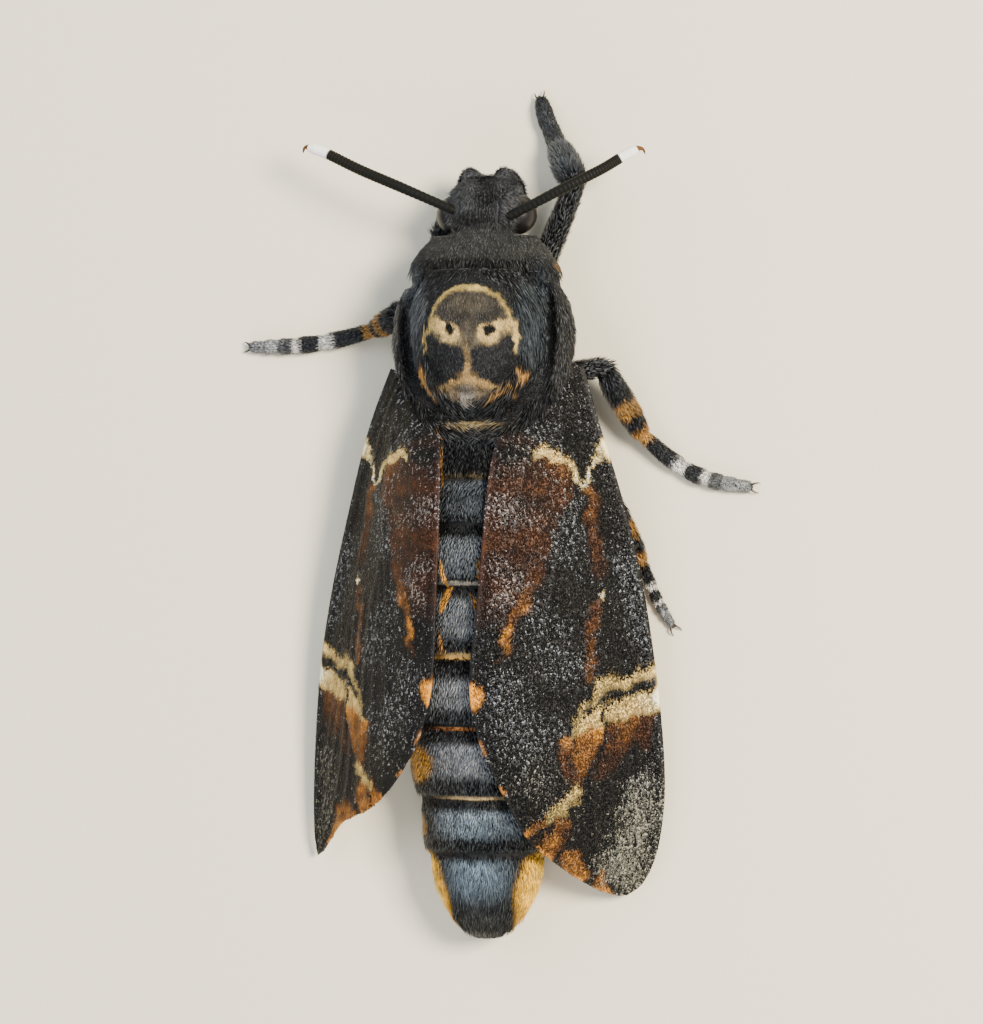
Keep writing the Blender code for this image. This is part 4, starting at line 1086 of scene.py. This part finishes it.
claws = {"reach": 0.95, "spread": 0.42, "thick": 0.13, "rise": 0.22, "drop": 0.3, "padHalf": 0.24}
for name, (path, _, _) in courses.items():
    ahead = unit(np.array([path[-1] - path[-4]]) * (1, 1, 0))[0]
    across = np.array((-ahead[1], ahead[0], 0))
    start = path[-1] - ahead * 0.15
    pieces = []
    for way in (-1, 1):
        f = np.linspace(0, 1, 12)[:, None]
        bow = start + ahead * claws["reach"] * f + across * way * claws["spread"] * np.sin(f * 1.9)
        bow += np.array((0, 0, 1)) * (claws["rise"] * np.sin(f * math.pi) - claws["drop"] * f**2)
        bow[:, 2] = np.maximum(bow[:, 2], 0.1)
        radii = claws["thick"] * np.array([0, *np.linspace(1, 0.25, 10), 0])
        pieces.append(rolledTube(f"claw{way}", bow, radii, 8))
    cushion = start + ahead * np.linspace(-0.1, 0.4, 7)[:, None]
    pieces.append(rolledTube("pad", cushion, claws["padHalf"] * np.array((0, 0.8, 1, 1, 0.95, 0.7, 0)), 8))
    pick(*pieces)
    bpy.ops.object.join()
    pair = bpy.context.object
    pair.name = "claws" + "".join(word.title() for word in name.split("_"))
    points = readPoints(pair.data)
    points[:, 2] = np.maximum(points[:, 2], 0.02 * mm)
    writePoints(pair.data, points)
    pair.data.materials.clear()
    pair.data.materials.append(hornMaterial)
    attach(pair, "root")
    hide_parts(f"leg_{name}_claws")


print("coat")


def sampleFaces(points, faces, values, density):
    # random roots on the faces, density per square mm given for each face
    a, b, c = (points[faces[:, k]] for k in range(3))
    area = 0.5 * np.linalg.norm(np.cross(b - a, c - a), axis=1)
    count = np.floor(area * density + rng.random(len(faces))).astype(int)
    index = np.repeat(np.arange(len(faces)), count)
    u, v = rng.random(len(index)), rng.random(len(index))
    over = u + v > 1
    u[over], v[over] = 1 - u[over], 1 - v[over]
    w = np.column_stack((1 - u - v, u, v))
    return [np.einsum("ij,ijk->ik", w, value[faces[index]]) if value.ndim == 2
            else (w * value[faces[index]]).sum(1) for value in values]


def drift(points, scale, seed):
    # smooth wandering values from -1 to 1, which part a coat into locks
    phase = np.random.default_rng(seed).random((4, 4)) * 6.28
    total = np.zeros(len(points))
    for k in range(4):
        way = unit(np.random.default_rng(seed * 7 + k).normal(size=(1, 3)))[0]
        total += np.sin(points @ way * scale * (1 + 0.7 * k) + phase[k, 0])
    return total / 2.6


patchLook = {"across": 0.0012, "along": 0.0026}  # a tuft's patch on its UV map: to each side, end to end


def tuftMesh(name, coat, shape, material):
    root, normal = coat["root"], unit(coat["normal"])
    lie = unit(coat["lie"] - normal * (coat["lie"] * normal).sum(1)[:, None])
    across = np.cross(normal, lie)
    long, wide, lift = (coat[key][:, None] for key in ("long", "wide", "lift"))
    count, none = len(root), np.zeros(len(root))
    # a tuft takes its colour from where most of it shows
    place = coat["place"] + lie * long * coat["shows"] if "shows" in coat else coat["place"]

    def spine(f):
        rise = long * (f * np.sin(lift) - coat["curl"] * f**2)
        return root + lie * (long * f * np.cos(lift)) + normal * rise

    if shape == "hair":
        rings = []
        for f, size, sunk in ((0, 1, 0.6), (0.5, 0.85, 0)):
            centre = spine(f) - normal * wide * sunk
            rings += [centre - across * wide * size / 2, centre + across * wide * size / 2,
                      centre + normal * wide * size * 0.4]
        corners = np.stack(rings + [spine(1)], axis=1)
        quads = [(0, 1, 4, 3), (1, 2, 5, 4), (2, 0, 3, 5)]
        tris = [(3, 4, 6), (4, 5, 6), (5, 3, 6), (2, 1, 0)]
        steps = np.array((0, 0, 0, 0.5, 0.5, 0.5, 1))
        sideways = np.array((-1, 1, 0, -0.8, 0.8, 0, 0))
    else:
        middle = spine(0.6)
        corners = np.stack((spine(0) - normal * wide * 0.15, middle - across * wide / 2 - normal * wide * 0.08,
                            middle + across * wide / 2 - normal * wide * 0.08, spine(1)), axis=1)
        quads = []
        tris = [(0, 3, 1), (0, 2, 3), (0, 1, 2), (1, 3, 2)]
        steps = np.array((0, 0.6, 0.6, 1))
        sideways = np.array((0, -1, 1, 0))
    size = corners.shape[1]
    points = corners.reshape(-1, 3)
    points[:, 2] = np.maximum(points[:, 2], 0.02)
    start = (np.arange(count) * size)[:, None, None]
    groups = [(start + np.array(group)[None]).reshape(-1, len(group[0])) for group in (quads, tris) if group]
    loops = np.concatenate([faces.ravel() for faces in groups])
    sizes = np.concatenate([np.full(len(faces), faces.shape[1]) for faces in groups])
    mesh = bpy.data.meshes.new(name)
    mesh.vertices.add(len(points))
    mesh.vertices.foreach_set("co", (points * mm).astype(np.float32).ravel())
    mesh.loops.add(len(loops))
    mesh.loops.foreach_set("vertex_index", loops.astype(np.int32))
    mesh.polygons.add(len(sizes))
    mesh.polygons.foreach_set("loop_start", (np.cumsum(sizes) - sizes).astype(np.int32))
    mesh.update(calc_edges=True)
    mesh.shade_smooth()
    tuftOf, local = loops // size, loops % size
    uv = mesh.uv_layers.new(name="OFBake")
    corner = np.column_stack((sideways[local] * patchLook["across"], (steps[local] - 0.5) * patchLook["along"]))
    uv.data.foreach_set("uv", (coat["unwrap"][tuftOf] + corner).astype(np.float32).ravel())
    fields = {"place": place, "leg": coat.get("leg", none), "flank": flankOf(place),
              "vein": coat.get("vein", none), "tone": coat["tone"], **coat.get("pattern", {})}
    for key, values in fields.items():
        writeAttribute(mesh, key, np.repeat(values, size, axis=0))
    writeAttribute(mesh, "tip", np.tile(steps, count))
    mesh.materials.append(material)
    obj = bpy.data.objects.new(name, mesh)
    bpy.context.scene.collection.objects.link(obj)
    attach(obj, "root")
    print("   ", name, count, "tufts,", len(sizes) + len(sizes[sizes == 4]), "triangles")
    return obj


def margin(share):
    return 0.01 + 0.98 * share  # clear of the map's edges


def cylinderUnwrap(points):
    # round the body's axis, 5.5 mm up, and along its 68 mm from the tail
    angle = np.arctan2(points[:, 2] - 5.5, points[:, 0]) / (2 * math.pi) + 0.5
    return np.column_stack((margin(angle), margin(np.clip((points[:, 1] + 36.5) / 68, 0, 1))))


skin.data.calc_loop_triangles()
skinFaces = np.empty(len(skin.data.loop_triangles) * 3, int)
skin.data.loop_triangles.foreach_get("vertices", skinFaces)
skinFaces = skinFaces.reshape(-1, 3)
skinPoints, skinNormals = readPoints(skin.data) / mm, readPoints(skin.data, "normal")
middleOf = skinPoints[skinFaces].mean(1)
onLeg = skinFaces[:, 0] >= bodyCount

# Each coat: from and to which y it grows, its shape, tufts per square mm, and a tuft's length and
# width in mm, lift in radians and curl.
coats = {
    "thoraxCoatFront": {"y": (15, 21), "shape": "hair", "density": 36,
                        "long": 1.35, "wide": 0.12, "lift": 0.30, "curl": 0.1},
    "thoraxCoatBack": {"y": (6.6, 15), "shape": "hair", "density": 34,
                       "long": 1.35, "wide": 0.12, "lift": 0.28, "curl": 0.1},
    "collarCoat": {"y": (21, 24.3), "shape": "hair", "density": 52,
                   "long": 0.9, "wide": 0.09, "lift": 0.38, "curl": 0.08},
    "headCoat": {"y": (24.3, 32), "shape": "hair", "density": 95,
                 "long": 0.6, "wide": 0.07, "lift": 0.5, "curl": 0.08},
    "abdomenCoatFront": {"y": (-11.6, 6.6), "shape": "scale", "density": 44,
                         "long": 0.72, "wide": 0.14, "lift": 0.2, "curl": 0.02},
    "abdomenCoatBack": {"y": (-30, -11.6), "shape": "scale", "density": 44,
                        "long": 0.78, "wide": 0.14, "lift": 0.22, "curl": 0.02},
    "tailCoat": {"y": (-37, -28.5), "shape": "hair", "density": 40,
                 "long": 1.3, "wide": 0.1, "lift": 0.2, "curl": 0.05},
}
# Where the body's coat is sparser, denser or bare.
coatLook = {"lowZ": (1.5, 4.5), "low": (0.55, 1), "skullEdge": 1.04, "skullZ": 8, "skullDensity": 2.4,
            "seam": (-0.02, 0.26), "seamZ": 5.5, "seamY": 3}
for name, look in coats.items():
    inside = (~onLeg) & (middleOf[:, 1] > look["y"][0]) & (middleOf[:, 1] <= look["y"][1])
    faces, middle = skinFaces[inside], middleOf[inside]
    density = look["density"] * np.interp(middle[:, 2], coatLook["lowZ"], coatLook["low"])
    reach = np.linalg.norm((middle[:, :2] - skinLook["skull"]) / skinLook["skullHalf"], axis=1)
    density[(reach < coatLook["skullEdge"]) & (middle[:, 2] > coatLook["skullZ"])] *= coatLook["skullDensity"]
    ahead = middle[:, 1:2] - skinLook["rings"]
    onSeam = ((ahead > coatLook["seam"][0]) & (ahead < coatLook["seam"][1])).any(1)
    density[onSeam & (middle[:, 2] > coatLook["seamZ"]) & (middle[:, 1] < coatLook["seamY"])] = 0
    root, normal = sampleFaces(skinPoints, faces, (skinPoints, skinNormals), density)
    normal = unit(normal)
    count = len(root)
    x, y, z = root.T
    lie = np.tile((0, -1.0, 0), (count, 1))
    lie[:, 0] += 0.12 * x / 7 + 0.2 * drift(root, 1.1, 3)
    lie[:, 2] += -0.25 * (np.abs(x) > 4) + 0.15 * drift(root, 1.3, 5)
    long, wide = np.full(count, look["long"]), np.full(count, look["wide"])
    lift = look["lift"] * (0.55 + 0.7 * rng.random(count) + 0.3 * drift(root, 1.7, 11))
    if "thorax" in name or "collar" in name:
        # the mantle's hair sweeps round the skull and meets behind it
        centre = root[:, :2] - skinLook["skull"]
        reach = np.linalg.norm(centre / skinLook["skullHalf"], axis=1)
        above = np.clip((z - 6) / 3, 0, 1)
        swirl = np.column_stack((centre[:, 1] * np.tanh(centre[:, 0]), -np.abs(centre[:, 0]), np.zeros(count)))
        swirl = unit(swirl + (0, -1, 0))
        outside = np.clip((reach - 0.95) / 0.2, 0, 1) * above
        outside = (outside * np.clip((21 - y) / 1.5, 0, 1))[:, None]
        lie = lie * (1 - outside) + (swirl + 0.25 * lie) * outside
        verge = coatLook["skullEdge"] + 0.12 * np.clip(centre[:, 1] / 2 - 1, 0, 1)
        short = np.clip((verge - reach) / 0.06, 0, 1) * above
        long *= 1 - 0.66 * short
        wide *= 1 - 0.3 * short
        lift *= 1 - 0.3 * short
        rising = np.interp(normal[:, 1], (0.2, 0.6), (1, 0.5))  # up the front slope, where hair would stand
        long *= rising
        lift *= rising
        groove = np.min([lineDistance(root[:, :2], line) for line in shoulderLines], axis=0)
        long *= np.interp(groove, (0.3, 0.7), (0.35, 1)) * np.interp(np.abs(x), (5.8, 6.8), (1, 0.7))
    if "abdomen" in name or "tail" in name:
        # no tuft reaches over the bare edge of its ring on the back
        ahead = y[:, None] - skinLook["rings"][1:]
        ahead = np.where(ahead > 0.2, ahead - 0.2, 9).min(1)
        long = np.where(z > 5.5, np.minimum(long, 0.12 + ahead), long)
    if name == "tailCoat":
        long = np.minimum(long, 0.25 + 0.9 * np.clip(y + 35.6, 0, None))
    if name == "headCoat":
        # the brow hangs over the inner part of each eye
        brow = np.clip((z - 5.6) / 0.8, 0, 1) * (np.abs(x) > 1.5) * (np.abs(y - 25.4) < 1.5)
        lie[:, 0] += 1.1 * brow * np.sign(x)
        long *= 1 + 0.5 * brow
        # short fur, back over the crown, up over the brow and forward on the palps
        face = np.clip((y - 26.6) / 1.5, 0, 1)[:, None]
        lie = lie * (1 - face) + face * np.column_stack((0.3 * x, np.full(count, 0.4), np.ones(count)))
    lie += rng.normal(scale=0.15, size=lie.shape)
    coat = {"root": root, "normal": normal, "lie": lie, "lift": lift, "curl": look["curl"], "shows": 0.6,
            "long": long * (0.65 + 0.6 * rng.random(count)), "wide": wide * (0.75 + 0.5 * rng.random(count)),
            "place": root, "tone": rng.random(count), "unwrap": cylinderUnwrap(root)}
    piece = tuftMesh(name, coat, look["shape"], bodyFur)

legLook = {"density": 60, "long": 0.42, "wide": 0.1, "lift": 0.28, "curl": 0.03,
           "shaggyAt": (1, 2, 2.9, 3.2, 4), "shaggy": (1.8, 2, 1.6, 0.8, 0.6)}
values = (skinPoints, skinNormals, legOf)
root, normal, leg = sampleFaces(skinPoints, skinFaces[onLeg], values, legLook["density"])
count = len(root)
nearest = nearestKnot(root, allPath)
ahead = np.concatenate([unit(np.gradient(course[0], axis=0)) for course in courses.values()])[nearest]
number = np.concatenate([np.full(len(course[0]), i) for i, course in enumerate(courses.values())])[nearest]
lie = ahead + rng.normal(scale=0.14, size=root.shape)
outward = unit(root - allPath[nearest])
angle = np.arctan2(outward[:, 2], (outward * np.cross(ahead, (0, 0, 1))).sum(1)) / (2 * math.pi) + 0.5
shaggy = np.interp(leg % 10, legLook["shaggyAt"], legLook["shaggy"])
coat = {"root": root, "normal": normal, "lie": lie, "curl": legLook["curl"], "place": root, "leg": leg,
        "long": legLook["long"] * shaggy * (0.7 + 0.6 * rng.random(count)),
        "wide": legLook["wide"] * (0.8 + 0.4 * rng.random(count)),
        "lift": legLook["lift"] * (0.5 + rng.random(count)), "tone": rng.random(count),
        "unwrap": np.column_stack(((number + 0.04 + 0.92 * angle) / 6, margin((leg % 10 - 1) / 3)))}
piece = tuftMesh("legCoat", coat, "scale", bodyFur)

scaleLook = {"density": 75, "long": 0.27, "wide": 0.14, "lift": 0.17}
share = np.linspace(0, 1, 160)
wingOutline = np.concatenate((smoothLine(wings["right"]["front"], share),
                              smoothLine(wings["right"]["back"], share)[::-1]))
for side, sign in sides.items():
    sheet = sheets[side]
    faces = np.concatenate((sheet["faces"][:, (0, 1, 2)], sheet["faces"][:, (0, 2, 3)]))
    values = [sheet[key] for key in ("points", "normals", "plan", "vein")]
    root, normal, plan, vein = sampleFaces(sheet["points"], faces, values, scaleLook["density"])
    count = len(root)
    # scales point away from the root of the wing, and lie flat along its edge
    flat = np.clip(lineDistance(plan, wingOutline) / 0.5, 0, 1)
    outward = np.interp(root[:, 1], (-30, 10), (0, 0.35)) * sign
    lie = np.column_stack((outward, np.full(count, -1), np.zeros(count)))
    lie += rng.normal(scale=0.18, size=lie.shape)
    coat = {"root": root, "normal": normal, "lie": lie, "curl": 0, "vein": vein,
            "long": scaleLook["long"] * (0.7 + 0.6 * rng.random(count)) * (0.35 + 0.65 * flat),
            "wide": scaleLook["wide"] * (0.7 + 0.6 * rng.random(count)) * (0.5 + 0.5 * flat),
            "lift": scaleLook["lift"] * (0.2 + 1.1 * rng.random(count)) * flat,
            "place": np.column_stack((plan, np.zeros(count))),
            "pattern": wingPattern(plan + rng.normal(scale=0.05, size=plan.shape), side),
            "tone": rng.random(count), "unwrap": (plan + mapLook["shift"]) / mapLook["span"]}
    piece = tuftMesh(f"wingScales{side.title()}", coat, "scale", wingScaleFur)

bpy.context.view_layer.update()
